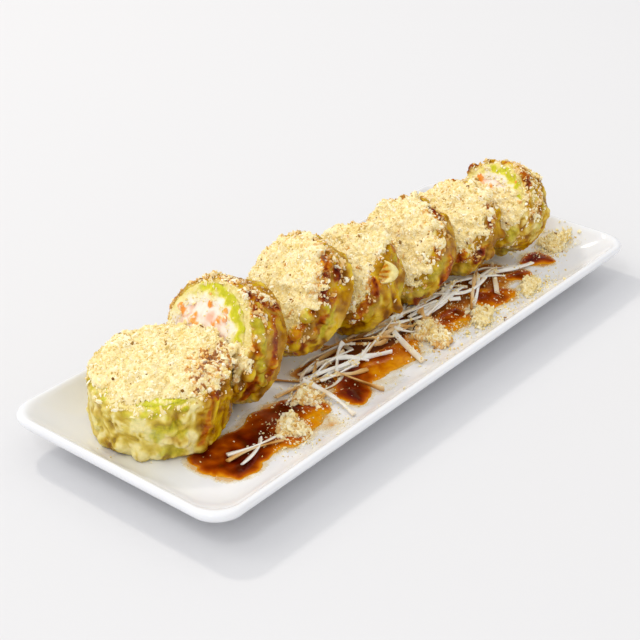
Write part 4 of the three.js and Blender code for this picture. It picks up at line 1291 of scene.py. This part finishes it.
# %% Tempura flakes
flakes = Recipe("tempura_flakes")
tone, sauce = flakes.read("tone"), flakes.read("sauce")
# On a crumb core the tone is lower in its pits, so there this ramp paints shade.
flake = flakes.ramp(tone, (0.0, "#6E4418"), (0.003, "#8A5C24"), (0.01, "#C09040"),
                    (0.03, "#E4CA7C"), (0.1, "#F2DE9A"), (0.45, "#F9E9B6"), (0.8, "#FCF3CE"),
                    (1.0, "#FFFAE6"))
warm = flakes.span(flakes.noise(7.0, 3.0), 0.45, 0.75, 0.0, 0.3)
flake = flakes.lay(warm, flake, srgb("#F0DA92"))
soaked = flakes.ramp(flakes.span(flakes.total(tone, 0.4, sauce), 0.1, 1.3), (0.1, "#F6D288"),
                     (0.4, "#E2A248"), (0.65, "#B06A1C"), (0.95, "#74340A"))
cover = flakes.span(flakes.total(tone, -0.5, sauce), 0.0, 0.4, 0.0, 0.9)
tempura_flakes = flakes.done({
    "Base Color": flakes.lay(cover, flake, soaked, blend_type="MULTIPLY"),
    "Roughness": flakes.span(sauce, 0.1, 0.8, 0.72, 0.25),
    "Normal": flakes.relief(0.5, 2.0, 0.15, 0.2), "Specular IOR Level": 0.15})


def crumbed(skin, density, smallest, largest, seed):
    """A skin with grains: how many there are a square millimetre, and their radius."""
    return with_modifier(skin, grains, {
        "Grains per mm2": density, "Smallest radius": smallest, "Largest radius": largest,
        "Seed": seed, "Material": tempura_flakes})


# %% [markdown]
# ## The crumb coats
# A cap of crumbs is dense inside, so it has a core: the solid's own layer with a rough
# surface, where a few lumps hang over the edge. Fine grains lie on the core and on the
# dusty places of the batter. Coarser ones lie in clumps over both.

# %% Sauce on the caps, and crumbs past their edges
FACE_SAUCE = {
    1: [([(-12, 14, 26), (6, 15, 24), (26, 15, 25)], 8, 0.9),
        ([(-4, 13, 27), (-16, 13, 26)], 2.6, 0.8), ([(10, 16, 17), (-4, 16, 19)], 5.5, 0.55)],
    2: [([(-16, 12, 22), (-33, 12, 24)], 3.2, 0.4)],
    3: [([(60, 10, 24), (26, 10, 24.6), (14, 10, 24)], 2.4, 0.6)],
    4: [([(10, 10.5, 22), (-4, 10, 22.6)], 2.6, 0.6), ([(-24, 11, 22)], 2.6, 0.4)],
    5: [([(80, 12, 16)], 2.4, 0.4), ([(68, 9, 23)], 3, 0.55), ([(158, 11.4, 15.6)], 1.8, 0.5)],
    6: [([(40, 9, 21)], 2.2, 0.5), ([(-28, 9, 21)], 2.2, 0.6)],
    7: [([(10, 13.5, 9.5), (60, 13, 7)], 1.8, 0.35)],
}
# Direction, distance from the axis and along it, and size of the crumbs past the edge
SPILLS = {
    1: [(8, 28.5, 13, 3.2), (20, 29, 14, 3.4), (33, 29, 14.5, 3.6), (46, 28, 15, 3.4),
        (60, 27, 14.5, 3.2), (-4, 28, 11.5, 2.4), (76, 26, 14, 3)],
    3: [(8, 26, 8, 2.6), (28, 26.5, 8, 2.8), (70, 25, 8.5, 3), (100, 25, 9, 3),
        (-20, 25, 8, 2.4)],
    4: [(64, 23.5, 8.5, 3), (90, 22.5, 9, 2.8), (-30, 22.5, 7.5, 2.4)],
    5: [(24, 24.5, 6.5, 2.6), (45, 24, 8, 3), (96, 23.5, 8.5, 2.8), (-6, 24, 7, 2.4),
        (-26, 24, 6, 2.2)],
    6: [(34, 22.5, 7.5, 2.8), (58, 22, 8, 2.8), (88, 21.5, 8, 2.6), (8, 22.5, 6.5, 2.2),
        (-20, 22, 6.5, 2.2)],
    7: [(-20, 19, 10, 2.4), (10, 20, 10, 2.2), (120, 18, 11, 2.2)],
}
SPILL_STRETCH = (1.2, 1.1, 0.8)
print("lumps past the edges:", sum(map(len, SPILLS.values())))

# %% [markdown]
# The core is marked to be kept by the grain tree, and pushed out unevenly by bumps at three
# sizes. It ends a little inside the solid's layer, and the grains fill that up.

# %% Dense crumbs
CAP_VOXEL, CAP_INSET = 0.8, 0.55


def crumb_core(mesh, shape, seed, voxel, inset, rough=1.0):
    """Dense crumbs as one rough skin, drawn in so that grains can lie on it."""
    mesh = melted(mesh, shape, voxel, 1)
    points = points_of(mesh)
    push = rough * (1.2 * bumps(points, 6.5, seed) + 1.1 * bumps(points, 3.1, seed + 1)
                    + 0.6 * bumps(points, 1.6, seed + 2)) - inset
    points = push_out(mesh, push, 0.1)
    # The tone is lower where the core is pushed in, so its pits get painted shade.
    store(mesh, dust=1, keep=1,
          tone=np.clip(0.5 + 0.24 * push + 0.25 * bumps(points, 2.0, seed + 3), 0.06, 1))
    return mesh


def cap_skins(number, roll):
    """A cap's core, uneven at its edge and gone from the bare batter, and a copy for clumps."""
    mesh, shape = solid_copy(f"roll_{number}_crumbs")
    for direction, reach, along, size in SPILLS.get(number, []):
        add_lump(shape, roll_point(roll, direction, reach, along), size, SPILL_STRETCH)
    core = crumb_core(mesh, shape, 300 + number, CAP_VOXEL, CAP_INSET, 0.7 if number == 1 else 1.0)
    local, radius, high = to_roll(roll, points_of(core)), roll["radius"], ends_of(roll)[1]

    def field(size, step):
        return bumps(local, size, number + step)

    patchy = ease(field(1.5, 310) + 0.5 * field(4.0, 315), -0.2, 0.35)
    spots = ease(field(2.2, 320) + 0.35 * field(7, 330), 0.42, 0.66)
    wet = run_strength(roll, local, FACE_SAUCE[number], 50 + number) * (0.1 + 0.9 * patchy)
    store(core, sauce=np.maximum(wet, (0.1 if number == 1 else 0.5) * spots))
    reach = np.hypot(local[:, 0], local[:, 1])
    swell = ease(reach, radius - 7, radius - 2) * (
        (-0.4 if number == 1 else 0.7) + 1.9 * field(6.5, 200) + 1.2 * field(3.0, 205))
    swell *= 1 - run_strength(roll, local, GREEN_RUNS[number], 30 + number)
    clear = run_strength(roll, local, CLEAR_RUNS.get(number, []), 75 + number)
    local[:, :2] *= (1 + (swell - 2.4 * clear) / np.maximum(reach, 1))[:, None]
    local[:, 2] -= 1.1 * (1 - ease(local[:, 2], high + 0.4, high + 1.6)) + 3.6 * clear
    set_points(core, from_roll(roll, local))
    facing = (normals_of(core) @ roll_axes(roll).T)[:, 2]
    store(core, dust=(1 - clear) * ease(facing, -0.5, 0.0))
    clumps = core.copy()
    gathered = ease(bumps(points_of(clumps), 3.4, 240 + number), -0.1, 0.5)
    store(clumps, keep=0, dust=(1 - clear) * gathered * ease(facing, -0.3, 0.2))
    return core, clumps


# %% [markdown]
# Crumbs on the batter stick where sauce or oil holds them, so the skins for them take up
# the sauce. On an open face they gather low down and in the seam between the layers.

# %% Crumbs on the batter and on open faces
def batter_skins(number, roll):
    """Copies of a roll's batter for the crumbs on it: for fine ones, and for clumps."""
    dusty = crusts[number].copy()
    oily, wet = stored(dusty, "amber"), stored(dusty, "sauce")
    store(dusty, keep=0, sauce=np.maximum(wet, 0.48 * oily))
    clumps = dusty.copy()
    points, green = points_of(clumps), stored(clumps, "green")
    local, high = to_roll(roll, points), ends_of(roll)[1]
    gathered = ease(bumps(points, 4.2, 90 + number), 0.02, 0.4) * (
        0.02 + 0.98 * ease(normals_of(clumps)[:, 2], 0.3, 0.9)) * ease(local[:, 2], 0, high - 3)
    thick = run_strength(roll, local, CRUSTED.get(number, []), 80 + number) * ease(
        bumps(points, 3.6, 95 + number), -0.3, 0.2)
    clear = run_strength(roll, local, CLEAR_RUNS.get(number, []), 75 + number)
    store(clumps, sauce=0.4 * np.maximum(wet, 0.9 * oily),
          dust=np.maximum(0.8 * thick, gathered) * (1 - 0.9 * ease(green, 0.3, 0.8)) * (1 - clear))
    return dusty, clumps


def dusted_face(number, roll, face):
    """The crumbs on an open cut face: most on its low side and in the seam of its layers."""
    points, radius, high = points_of(face), roll["radius"], ends_of(roll)[1]
    local = to_roll(roll, points)
    reach = np.hypot(local[:, 0], local[:, 1])
    low_side = ease(-local[:, 1], -6, 9) + ease(reach, radius * 0.6, radius * 0.78) * 0.35
    sprinkle = (0.14 + 0.8 * low_side) * ease(bumps(points, 3.0, number + 180), -0.3, 0.5)
    sprinkle *= 0.45 if number == 1 else 1.0
    rim_of = np.abs(np.linalg.norm(local[:, :2] - filling_place(roll), axis=1)
                    - radius * FILLING_SHARE)
    seam = 0.9 * (1 - ease(rim_of, 0.5, 1.6)) * ease(bumps(points, 2.4, number + 185), -0.6, 0.1)
    store(face, dust=ease(local[:, 2], high - 1.8, high - 0.6) * np.maximum(sprinkle, seam),
          keep=0, sauce=0)
    return crumbed(face, 1.1, 0.24, 1.0, number * 19)


# %% [markdown]
# The fine grains are dense and up to 0.9 mm in radius, and the clumps have fewer, up to
# 1.3 mm. The batter pieces are finished here too, because their crumbs start on them.

# %% Make the crumb coats and finish the batter
CURLED_ROLL = 4

for number, roll in enumerate(ROLLS, 1):
    core, cap_clumps = cap_skins(number, roll)
    dusty, batter_clumps = batter_skins(number, roll)
    clumps = joined([batter_clumps, cap_clumps])
    coats = [crumbed(joined([core, dusty]), 1.2, 0.26, 0.92, number * 11),
             crumbed(clumps, 0.88, 0.42, 1.3, number * 23 + 5)]
    coats += [dusted_face(number, roll, face) for face in open_faces.get(number, [])]
    finish_piece(f"roll_{number}_crumb_coat", joined(coats), tempura_flakes, "crumbs",
                 f"roll_{number}_crumbs")
    if number == CURLED_ROLL:
        crusts[number] = joined([crusts[number], curl_mesh()])
    finish_piece(f"roll_{number}_batter", crusts[number], fried_batter, "fried_batter",
                 f"roll_{number}_crust")

# %% [markdown]
# ## Sauce on the plate
# The sauce is a thick, sweet soy glaze. It stands less than a millimetre deep, dark where
# deep and amber at its thin edge. Each puddle follows its outline: a fine grid inside it,
# with the edge points moved onto the line, a rounded edge and a hidden underside. The
# depth is stored for the colour.

# %% Puddle outlines, as in the solid model
SAUCE_OUTLINES = [
    [(-119, -11), (-104, -7), (-90, -10), (-72, -7), (-55, -14), (-49, -26), (-60, -34),
     (-78, -38), (-94, -34), (-108, -37), (-119, -30)],
    [(-41, -24), (-24, -14), (-8, -12), (8, -18), (19, -24), (8, -34), (-12, -32), (-24, -33),
     (-41, -39)],
    [(48, -17), (57, -21), (56, -28), (46, -34), (36, -33), (38, -24)],
    [(74, -16), (83, -22), (89, -34), (78, -37), (65, -33), (65, -24)],
    [(99, -19), (110, -23), (110, -30), (103, -32), (96, -24)],
    [(116, -18), (129, -16), (133, -24), (127, -32), (118, -27)],
]
# Places in each puddle where the sauce lies thin, with a reach
THIN_SPOTS = [
    [(-70, -30, 9), (-58, -31, 8), (-88, -33, 6), (-52, -20, 5)],
    [(-16, -27, 8), (-6, -29, 9), (3, -30, 9), (12, -24, 6)],
    [(41, -30, 6), (47, -32, 5)],
    [(84, -33, 5), (66, -30, 3)],
    [(108, -30, 3)],
    [(122, -28, 3)],
]
print("puddles:", len(SAUCE_OUTLINES))

# %% [markdown]
# How far a place is inside the outline gives the puddle's height and its depth of colour.
# Surface tension rounds the edge within about a millimetre and a half.

# %% The shape of a puddle
THINNED_BY = 0.72
PUDDLE_GRID = 0.8
PUDDLE_DEPTH = 0.75
EDGE_RUN = 1.5
DEEP_RUN = 2.6
BELOW_GLAZE = 0.15


def closed_curve(stops, steps=10):
    """A smooth closed line through the stops."""
    stops = np.array(stops, float)
    return np.array([between(*(stops[(i + k) % len(stops)] for k in (-1, 0, 1, 2)), t)
                     for i in range(len(stops)) for t in np.arange(steps) / steps])


def inside_distance(points, line):
    """Distance to a closed line, above 0 inside, and the nearest place on it."""
    start, end = line, np.roll(line, -1, axis=0)
    best = np.full(len(points), 1e9)
    nearest = np.zeros_like(points)
    inside = np.zeros(len(points), bool)
    for a, b in zip(start, end):
        along = np.clip(((points - a) @ (b - a)) / ((b - a) @ (b - a)), 0, 1)
        spot = a + along[:, None] * (b - a)
        away = np.linalg.norm(points - spot, axis=1)
        closer = away < best
        best[closer], nearest[closer] = away[closer], spot[closer]
        if a[1] != b[1]:
            cross = a[0] + (points[:, 1] - a[1]) / (b[1] - a[1]) * (b[0] - a[0])
            inside ^= ((a[1] > points[:, 1]) != (b[1] > points[:, 1])) & (points[:, 0] < cross)
    return np.where(inside, best, -best), nearest


def thin_slab(name, places, quads, top):
    """A closed thin layer on the glaze, from squares between places and heights over it."""
    return slab(name, over_glaze(places, top), over_glaze(places, -BELOW_GLAZE), quads)


def puddle_mesh(outline, thin_spots, seed):
    """A puddle with an uneven edge, and its depth kept for the colour."""
    smooth = closed_curve(outline)
    line = smooth + 2.2 * np.column_stack([bumps(flat(smooth), 9, seed + k) for k in (0, 1)])
    line = line + np.column_stack([bumps(flat(smooth), 3.5, seed + k) for k in (5, 6)])
    low, high = line.min(0) - 1, line.max(0) + 1
    xs, ys = (np.arange(start, end, PUDDLE_GRID) for start, end in zip(low, high))
    places = grid(xs, ys)
    depth, nearest = inside_distance(places, line)
    used, quads = np.unique(squares(len(xs), len(ys), depth > 0.15), return_inverse=True)
    quads = quads.reshape(-1, 4)
    edge = np.bincount(quads.ravel(), minlength=len(used)) < 4
    places = np.where(edge[:, None], nearest[used], places[used])
    depth = np.where(edge, 0, depth[used])

    def field(size, step):
        return bumps(flat(places), size, seed + step)

    swell = 1 - np.exp(-depth / EDGE_RUN)
    mesh = thin_slab("puddle", places, quads,
                     0.03 + PUDDLE_DEPTH * swell * (0.75 + 0.35 * field(8, 2)))
    deep = (1 - np.exp(-depth / DEEP_RUN)) * (0.7 + 0.5 * field(12, 3) + 0.4 * field(5, 4))
    for spot in thin_spots:
        deep *= 1 - near_spots(places, [(*spot, THINNED_BY)])
    store(mesh, depth=np.tile(deep, 2))
    return mesh


# %% [markdown]
# The glaze is clear syrup over white porcelain: yellow where it is thinnest, then amber,
# and nearly black-brown where it is deep, with a wet shine all over. Its thinnest edge
# lets the porcelain through.

# %% Sweet soy glaze and the puddles
syrup = Recipe("sweet_soy_glaze")
tone = syrup.total(syrup.noise(5.0, 4.0, Distortion=1.2), 0.35, syrup.read("depth"))
colour = syrup.ramp(tone, (0.08, "#FFC830"), (0.22, "#E89A08"), (0.36, "#CC7000"),
                    (0.5, "#AA4600"), (0.68, "#862C00"), (0.88, "#661400"), (1.0, "#500C00"))
soy_glaze = syrup.done({
    "Base Color": colour, "Alpha": syrup.span(tone, 0.05, 0.24), "Roughness": 0.08, "IOR": 1.42,
    "Normal": syrup.relief(4.0, 2.0, 0.12, 0.5)})

for number, (outline, thin_spots) in enumerate(zip(SAUCE_OUTLINES, THIN_SPOTS), 1):
    puddle = puddle_mesh(outline, thin_spots, 400 + 7 * number)
    finish_piece(f"sauce_puddle_{number}", puddle, soy_glaze, "sauce", f"sauce_{number}")

# %% [markdown]
# ## Crumb heaps and stray crumbs
# Coarser flakes fell beside the rolls and lie in small heaps on the sauce, with a dusting
# round them. Each heap is the solid's mound as a rough core with larger grains. The stray
# crumbs are scattered by the same tree over a thin field that follows the glaze and isn't
# kept itself.

# %% Heaps
# Middle, half its length and width, turn in degrees, and how much sauce each heap drank
CRUMB_HEAPS = [
    dict(at=(-51, -18), half=(9, 7), turn=30, soak=0.3),
    dict(at=(-74, -28), half=(9, 7.5), turn=60, soak=0.25),
    dict(at=(27, -27), half=(15, 8), turn=62, soak=0.3),
    dict(at=(56, -36), half=(11, 5.5), turn=25, soak=0.1),
    dict(at=(97, -37), half=(11, 5), turn=20, soak=0.05),
    dict(at=(140, -24), half=(9, 6), turn=-60, soak=0.1),
]
HEAP_VOXEL, HEAP_INSET = 0.7, 1.5
LOOSE_STEP = 1.5


def loose_ring(heap, number):
    """A patch over the glaze round a heap, for the grains that rolled off it."""
    far = max(heap["half"]) * 1.6
    steps = np.arange(-far, far + 0.1, LOOSE_STEP)
    places = grid(steps, steps) + np.array(heap["at"])
    points = over_glaze(places, 0.5)
    mesh = mesh_of("loose_ring", points, squares(len(steps), len(steps)))
    turn = math.radians(heap["turn"])
    away = (places - np.array(heap["at"])) @ np.array([[math.cos(turn), -math.sin(turn)],
                                                       [math.sin(turn), math.cos(turn)]])
    away = np.linalg.norm(away / np.array(heap["half"]), axis=1)
    patchy = ease(bumps(points, 3.0, 380 + number), -0.2, 0.4)
    store(mesh, dust=0.5 * np.exp(-(away / 1.15) ** 4) * patchy, keep=0, tone=0,
          sauce=heap["soak"])
    return mesh


for number, heap in enumerate(CRUMB_HEAPS, 1):
    core = crumb_core(*solid_copy(f"crumb_heap_{number}"), 340 + number, HEAP_VOXEL, HEAP_INSET)
    points = points_of(core)
    glaze_height = glaze_under(points)
    slump = 0.5 + 0.5 * ease(bumps(flat(points), 4.2, 360 + number), -0.5, 0.3)
    points[:, 2] = glaze_height + np.maximum((points[:, 2] - glaze_height) * slump, 0.1)
    set_points(core, points)
    wet = heap["soak"] * (1 - ease(points[:, 2] - glaze_height, 0.5, 4.5))
    store(core, sauce=np.clip(wet + 0.4 * heap["soak"] * (1 + bumps(points, 3, number)), 0, 1))
    pile = crumbed(joined([core, loose_ring(heap, number)]), 2.0, 0.3, 1.35, 500 + number * 13)
    finish_piece(f"crumb_pile_{number}", pile, tempura_flakes, "crumbs", f"crumb_heap_{number}")

# %% [markdown]
# Stray crumbs lie thickest round the heaps and the feet of the rolls, and in a few places
# where the photo shows more of them.

# %% Stray crumbs on the plate
# Where more lie: x, y, reach and strength
STRAY_SPOTS = [(-60, -33, 14, 0.3), (72, -36, 20, 0.4), (132, -14, 12, 0.6), (-20, -34, 14, 0.1),
               (140, 2, 10, 0.25), (57, -20, 8, 0.5), (89, -22, 8, 0.5), (104, -36, 12, 0.5)]
FIELD_STEP = 2.0

xs, ys = np.arange(-146, 148, FIELD_STEP), np.arange(-52, 50, FIELD_STEP)
places = grid(xs, ys)
strewn = near_spots(places, STRAY_SPOTS)
for heap in CRUMB_HEAPS:
    away = (places - np.array(heap["at"])) / (np.array(heap["half"]) * 1.5)
    strewn = np.maximum(strewn, 1.2 * np.exp(-np.linalg.norm(away, axis=1) ** 2))
for roll in ROLLS:
    away = np.linalg.norm(places - np.array(roll["at"][:2]), axis=1) - roll["radius"] * 0.9
    strewn = np.maximum(strewn, 0.1 * np.exp(-(np.maximum(away, 0) / 5) ** 2))
field = over_glaze(places, 0.35)
field_mesh = mesh_of("crumb_field", field, squares(len(xs), len(ys)))
store(field_mesh, dust=strewn * ease(bumps(field, 4.0, 77), -0.5, 0.5), keep=0, sauce=0.12)
finish_piece("stray_crumbs", crumbed(field_mesh, 1.0, 0.2, 0.75, 900), tempura_flakes, "crumbs")

# %% [markdown]
# ## Shredded daikon
# Daikon for a garnish is cut in square threads a little over a millimetre wide. They lie
# in a loose bed against the rolls, some leaning out over the sauce. Every thread is a
# line of points laid by rule or listed one by one, and one node tree turns the lines into
# square threads that twist and thin a little.

# %% Thread lines
BED_FROM, BED_TO = -42, 105
BED_HALF_WIDTH = 11
BED_HEIGHT = 3.7
THREADS = 44
LINE_POINTS = 14
# Three stops each: x, y and the height over the glaze
LONG_THREADS = [
    [(-46, -11, 4), (-46, -28, 2.4), (-51, -43, 1.6)],
    [(-12, -6, 6), (-19, -9, 5), (-30, -17, 3)],
    [(-17, -8, 4), (-14, -16, 3), (1, -24, 2.2)],
    [(-40, -16, 3), (-29, -18, 2.6), (-18, -19, 2.8)],
    [(-30, -16, 3), (-28, -32, 2.1), (-26, -40, 1.4)],
    [(13, -16, 4), (8, -28, 2.4), (4, -39, 1.4)],
    [(100, -12, 3), (89, -21, 2.4), (79, -29, 1.6)],
    [(90, -15, 3), (105, -22, 2.3), (117, -25, 1.6)],
]
NEAR_THREADS = [
    [(-110, -25, 2), (-98, -27, 2.3), (-84, -32, 1.6)],
    [(-107, -22, 2), (-95, -27, 2.5), (-85, -28, 1.9)],
    [(-108, -31, 2), (-97, -29, 2.3), (-89, -24, 1.8)],
]
print("threads:", THREADS, "by a draw and", len(LONG_THREADS + NEAR_THREADS), "by hand")

# %% [markdown]
# The bed is a low mound along a winding middle line. The drawn threads lie at its height,
# so they cross and rest on one another.

# %% Laying the lines
def bed_middle(x):
    return -10 - 0.05 * x + 2 * np.sin(x / 17)


def bed_top(x, y):
    ends = np.clip(np.minimum((x - BED_FROM) / 12, (BED_TO - x) / 12), 0.1, 1)
    across = np.clip(np.abs(y - bed_middle(x)) / BED_HALF_WIDTH, 0, 1)
    return PLATE_FLOOR + 1.0 + BED_HEIGHT * ends * (1 - across ** 2)


def laid_line(stops):
    """A smooth open line through three stops given over the plate's glaze."""
    a, b, c = np.array(stops, float)
    t = np.linspace(0, 1, LINE_POINTS)[:, None]
    line = (1 - t) ** 2 * a + 2 * (1 - t) * t * (2 * b - (a + c) / 2) + t ** 2 * c
    line[:, 2] += glaze_under(line)
    return line


def bed_lines():
    """The lines of the bed: a seeded draw of bent threads that lie mostly along the plate."""
    random = np.random.default_rng(21)
    lines = []
    for i in range(THREADS):
        x = random.uniform(BED_FROM + 2, BED_TO - 4)
        y = bed_middle(x) + random.normal(0.1, 0.45) * BED_HALF_WIDTH
        angle = random.normal(-0.04, 0.36) + (math.pi if random.uniform() < 0.5 else 0)
        length, bend = random.uniform(20, 48), random.normal(0, 4)
        share = np.linspace(-0.5, 0.5, LINE_POINTS)
        side = bend * (0.25 - share ** 2) * 4
        px = x + share * length * math.cos(angle) - side * math.sin(angle)
        py = y + share * length * math.sin(angle) + side * math.cos(angle)
        layer = random.uniform(-1.4, 0.5)
        pz = np.maximum(bed_top(px, py) + layer + 0.6 * np.sin(share * 5 + i), PLATE_FLOOR + 0.9)
        lines.append(np.column_stack([px, py, pz]))
    return lines


# %% [markdown]
# A thread is a small rounded rectangle swept along its line. Slow noise turns the rectangle
# as it goes, and faster noise makes the thread thinner and thicker.

# %% The thread tree
threads, given = new_tree("daikon_threads", {
    "Lines": "Geometry", "Width": "Float", "Depth": "Float", "Point spacing": "Float",
    "Seed": "Int", "Material": "Material"}, "Threads")
lines = add(threads, "GeometryNodeMeshToCurve", {0: given["Lines"]}).outputs[0]
even = add(threads, "GeometryNodeResampleCurve", {
    "Curve": lines, "Length": given["Point spacing"]}, mode="LENGTH").outputs[0]
where = add(threads, "GeometryNodeInputPosition").outputs[0]
drift = add(threads, "ShaderNodeTexNoise", {
    "Vector": where, "W": given["Seed"], "Scale": 0.035, "Detail": 0.0}, noise_dimensions="4D")
spin = add(threads, "ShaderNodeMapRange", {0: drift.outputs[0], 1: 0.3, 2: 0.7, 3: -1.3, 4: 1.3})
tilted = add(threads, "GeometryNodeSetCurveTilt", {"Curve": even, "Tilt": spin.outputs[0]})
uneven = add(threads, "ShaderNodeTexNoise", {"Vector": where, "Scale": 0.08, "Detail": 1.0})
girth = add(threads, "ShaderNodeMapRange", {0: uneven.outputs[0], 1: 0.3, 2: 0.7, 3: 0.62, 4: 1.15})
section = add(threads, "GeometryNodeCurvePrimitiveQuadrilateral", {
    "Width": given["Width"], "Height": given["Depth"]}, mode="RECTANGLE")
round_by = add(threads, "ShaderNodeMath", {0: given["Depth"], 1: 0.28}, operation="MULTIPLY")
rounded = add(threads, "GeometryNodeFilletCurve", {
    "Curve": section.outputs[0], "Count": 1, "Radius": round_by.outputs[0]}, mode="POLY")
swept = add(threads, "GeometryNodeCurveToMesh", {
    "Curve": tilted.outputs[0], "Profile Curve": rounded.outputs[0], "Scale": girth.outputs[0],
    "Fill Caps": True})
close_tree(threads, swept.outputs[0], given["Material"])

# %% [markdown]
# Daikon is a watery white root: light passes well into a thread, its cut faces are wet,
# and it drinks the sauce that it lies in, so low threads are tan. The same tan is painted
# on threads towards the rolls as painted shade.

# %% Fresh daikon
root = Recipe("fresh_shredded_daikon")
white = root.ramp(root.noise(4.0, 3.0), (0.3, "#F0EEE6"), (0.6, "#FAF9F3"), (0.8, "#FFFFFC"))
soaked = root.ramp(root.read("soak"), (0.12, "#FFFFFF"), (0.4, "#F5E0BE"), (0.62, "#E8BA74"),
                   (0.82, "#C88A3C"), (1.0, "#A0641E"))
fresh_daikon = root.done({
    "Base Color": root.lay(1.0, white, soaked, blend_type="MULTIPLY"), "Roughness": 0.32,
    "Normal": root.relief(0.6, 2.0, 0.2, 0.2), **light_inside(0.15, 0.4, 0.36, 0.3)})

# %% [markdown]
# A thread is soaked most near the glaze, and threads towards the rolls get some painted
# shade in the same tan. Some lay in sauce before, so a draw for each line soaks a few threads
# all along. Crumbs fell on the bed from above.

# %% Threads and the crumbs on them
POINT_SPACING = 1.6


def thread_mesh(lines, width, depth, seed):
    """Lines of points as square threads, with their sauce soak and painted shade near the rolls."""
    points = np.concatenate(lines)
    mesh = bpy.data.meshes.new("lines")
    mesh.from_pydata([tuple(p) for p in points], [
        (i, i + 1) for i in range(len(points) - 1) if (i + 1) % LINE_POINTS], [])
    tints = np.random.default_rng(seed).uniform(0, 1, len(lines))
    store(mesh, tint=np.repeat(tints, LINE_POINTS))
    mesh = with_modifier(mesh, threads, {
        "Width": width, "Depth": depth, "Point spacing": POINT_SPACING, "Seed": seed,
        "Material": fresh_daikon})
    points = points_of(mesh)
    over = points[:, 2] - glaze_under(points)
    points[:, 2] += np.maximum(0.1 - over, 0)
    set_points(mesh, points)
    # Threads towards the rolls get more tan: painted shade, kept in the soak.
    shade = ease(points[:, 1] - bed_middle(points[:, 0]), -9, 2)
    soak = (1 - ease(over, 0.6, 3.4)) * 0.28 + 0.35 * bumps(points, 8, seed) + 0.1 * shade
    store(mesh, soak=np.clip(soak + 0.55 * ease(stored(mesh, "tint"), 0.55, 0.8), 0, 1))
    return mesh


bed = joined([thread_mesh(bed_lines(), 2.0, 0.85, 5),
              thread_mesh([laid_line(stops) for stops in LONG_THREADS], 2.5, 0.95, 6)])
sprinkled = bed.copy()
patchy = ease(bumps(points_of(sprinkled), 6.0, 88), -0.05, 0.5)
store(sprinkled, dust=0.5 * ease(normals_of(sprinkled)[:, 2], 0.3, 0.9) * patchy, keep=0,
      sauce=0.15)
finish_piece("crumbs_on_daikon", crumbed(sprinkled, 1.6, 0.25, 1.0, 950), tempura_flakes, "crumbs")
finish_piece("daikon_shreds", bed, fresh_daikon, "daikon", "daikon_bed")
near = thread_mesh([laid_line(stops) for stops in NEAR_THREADS], 2.4, 0.95, 9)
finish_piece("daikon_shreds_near", near, fresh_daikon, "daikon", "daikon_near")

# %% [markdown]
# ## The thin film of sauce
# Round the puddles and under the threads the glaze carries only a film of sauce, pale
# yellow at its far edge and brown where threads soak in it. It is one thin slab whose
# strength is a field over the plate, and the material turns that into colour and cover.

# %% Film of sauce on the glaze
FILM_GRID = 1.0
FILM_REACH = 4.0
# Where more of it lies: x, y, reach and strength
FILM_SPOTS = [(-20, -22, 12, 0.6), (14, -22, 9, 0.6), (140, -26, 9, 0.2), (-62, -37, 7, 0.25)]

xs, ys = np.arange(-128, 146, FILM_GRID), np.arange(-50, 6, FILM_GRID)
places = grid(xs, ys)
film = near_spots(places, FILM_SPOTS)
for outline in SAUCE_OUTLINES:
    inward, _ = inside_distance(places, closed_curve(outline))
    film = np.maximum(film, 0.3 * ease(inward, -FILM_REACH, 1.0))
across = np.abs(places[:, 1] - bed_middle(places[:, 0])) / (BED_HALF_WIDTH + 3)
along = np.minimum(places[:, 0] - BED_FROM + 4, BED_TO + 6 - places[:, 0]) / 12
under = 0.8 + 0.45 * ease(-places[:, 0], -45, -5)
film = np.maximum(film, under * (1 - ease(across, 0.5, 1.0)) * ease(along, 0, 1))
film = film * (1 + 0.35 * bumps(flat(places), 6, 61)) + 0.28 * bumps(
    flat(places), 9, 62) * ease(film, 0.02, 0.3)
used, quads = np.unique(squares(len(xs), len(ys), film > 0.03), return_inverse=True)
film = film[used]
film_mesh = thin_slab("film", places[used], quads.reshape(-1, 4),
                      0.02 + 0.12 * np.clip(film, 0, 1))
store(film_mesh, film=np.tile(film, 2))

wash = Recipe("thin_sauce_film")
mist = wash.span(wash.total(wash.noise(3.2, 5.0), 0.5, wash.read("film")), 0.25, 1.25)
colour = wash.ramp(mist, (0.0, "#FFF0A8"), (0.2, "#F8D468"), (0.4, "#E8A020"), (0.65, "#BE6A08"),
                   (1.0, "#783204"))
sauce_film = wash.done({
    "Base Color": colour, "Alpha": wash.span(mist, 0.0, 0.6, 0.0, 0.92), "Roughness": 0.2})
finish_piece("sauce_film", film_mesh, sauce_film, "sauce")
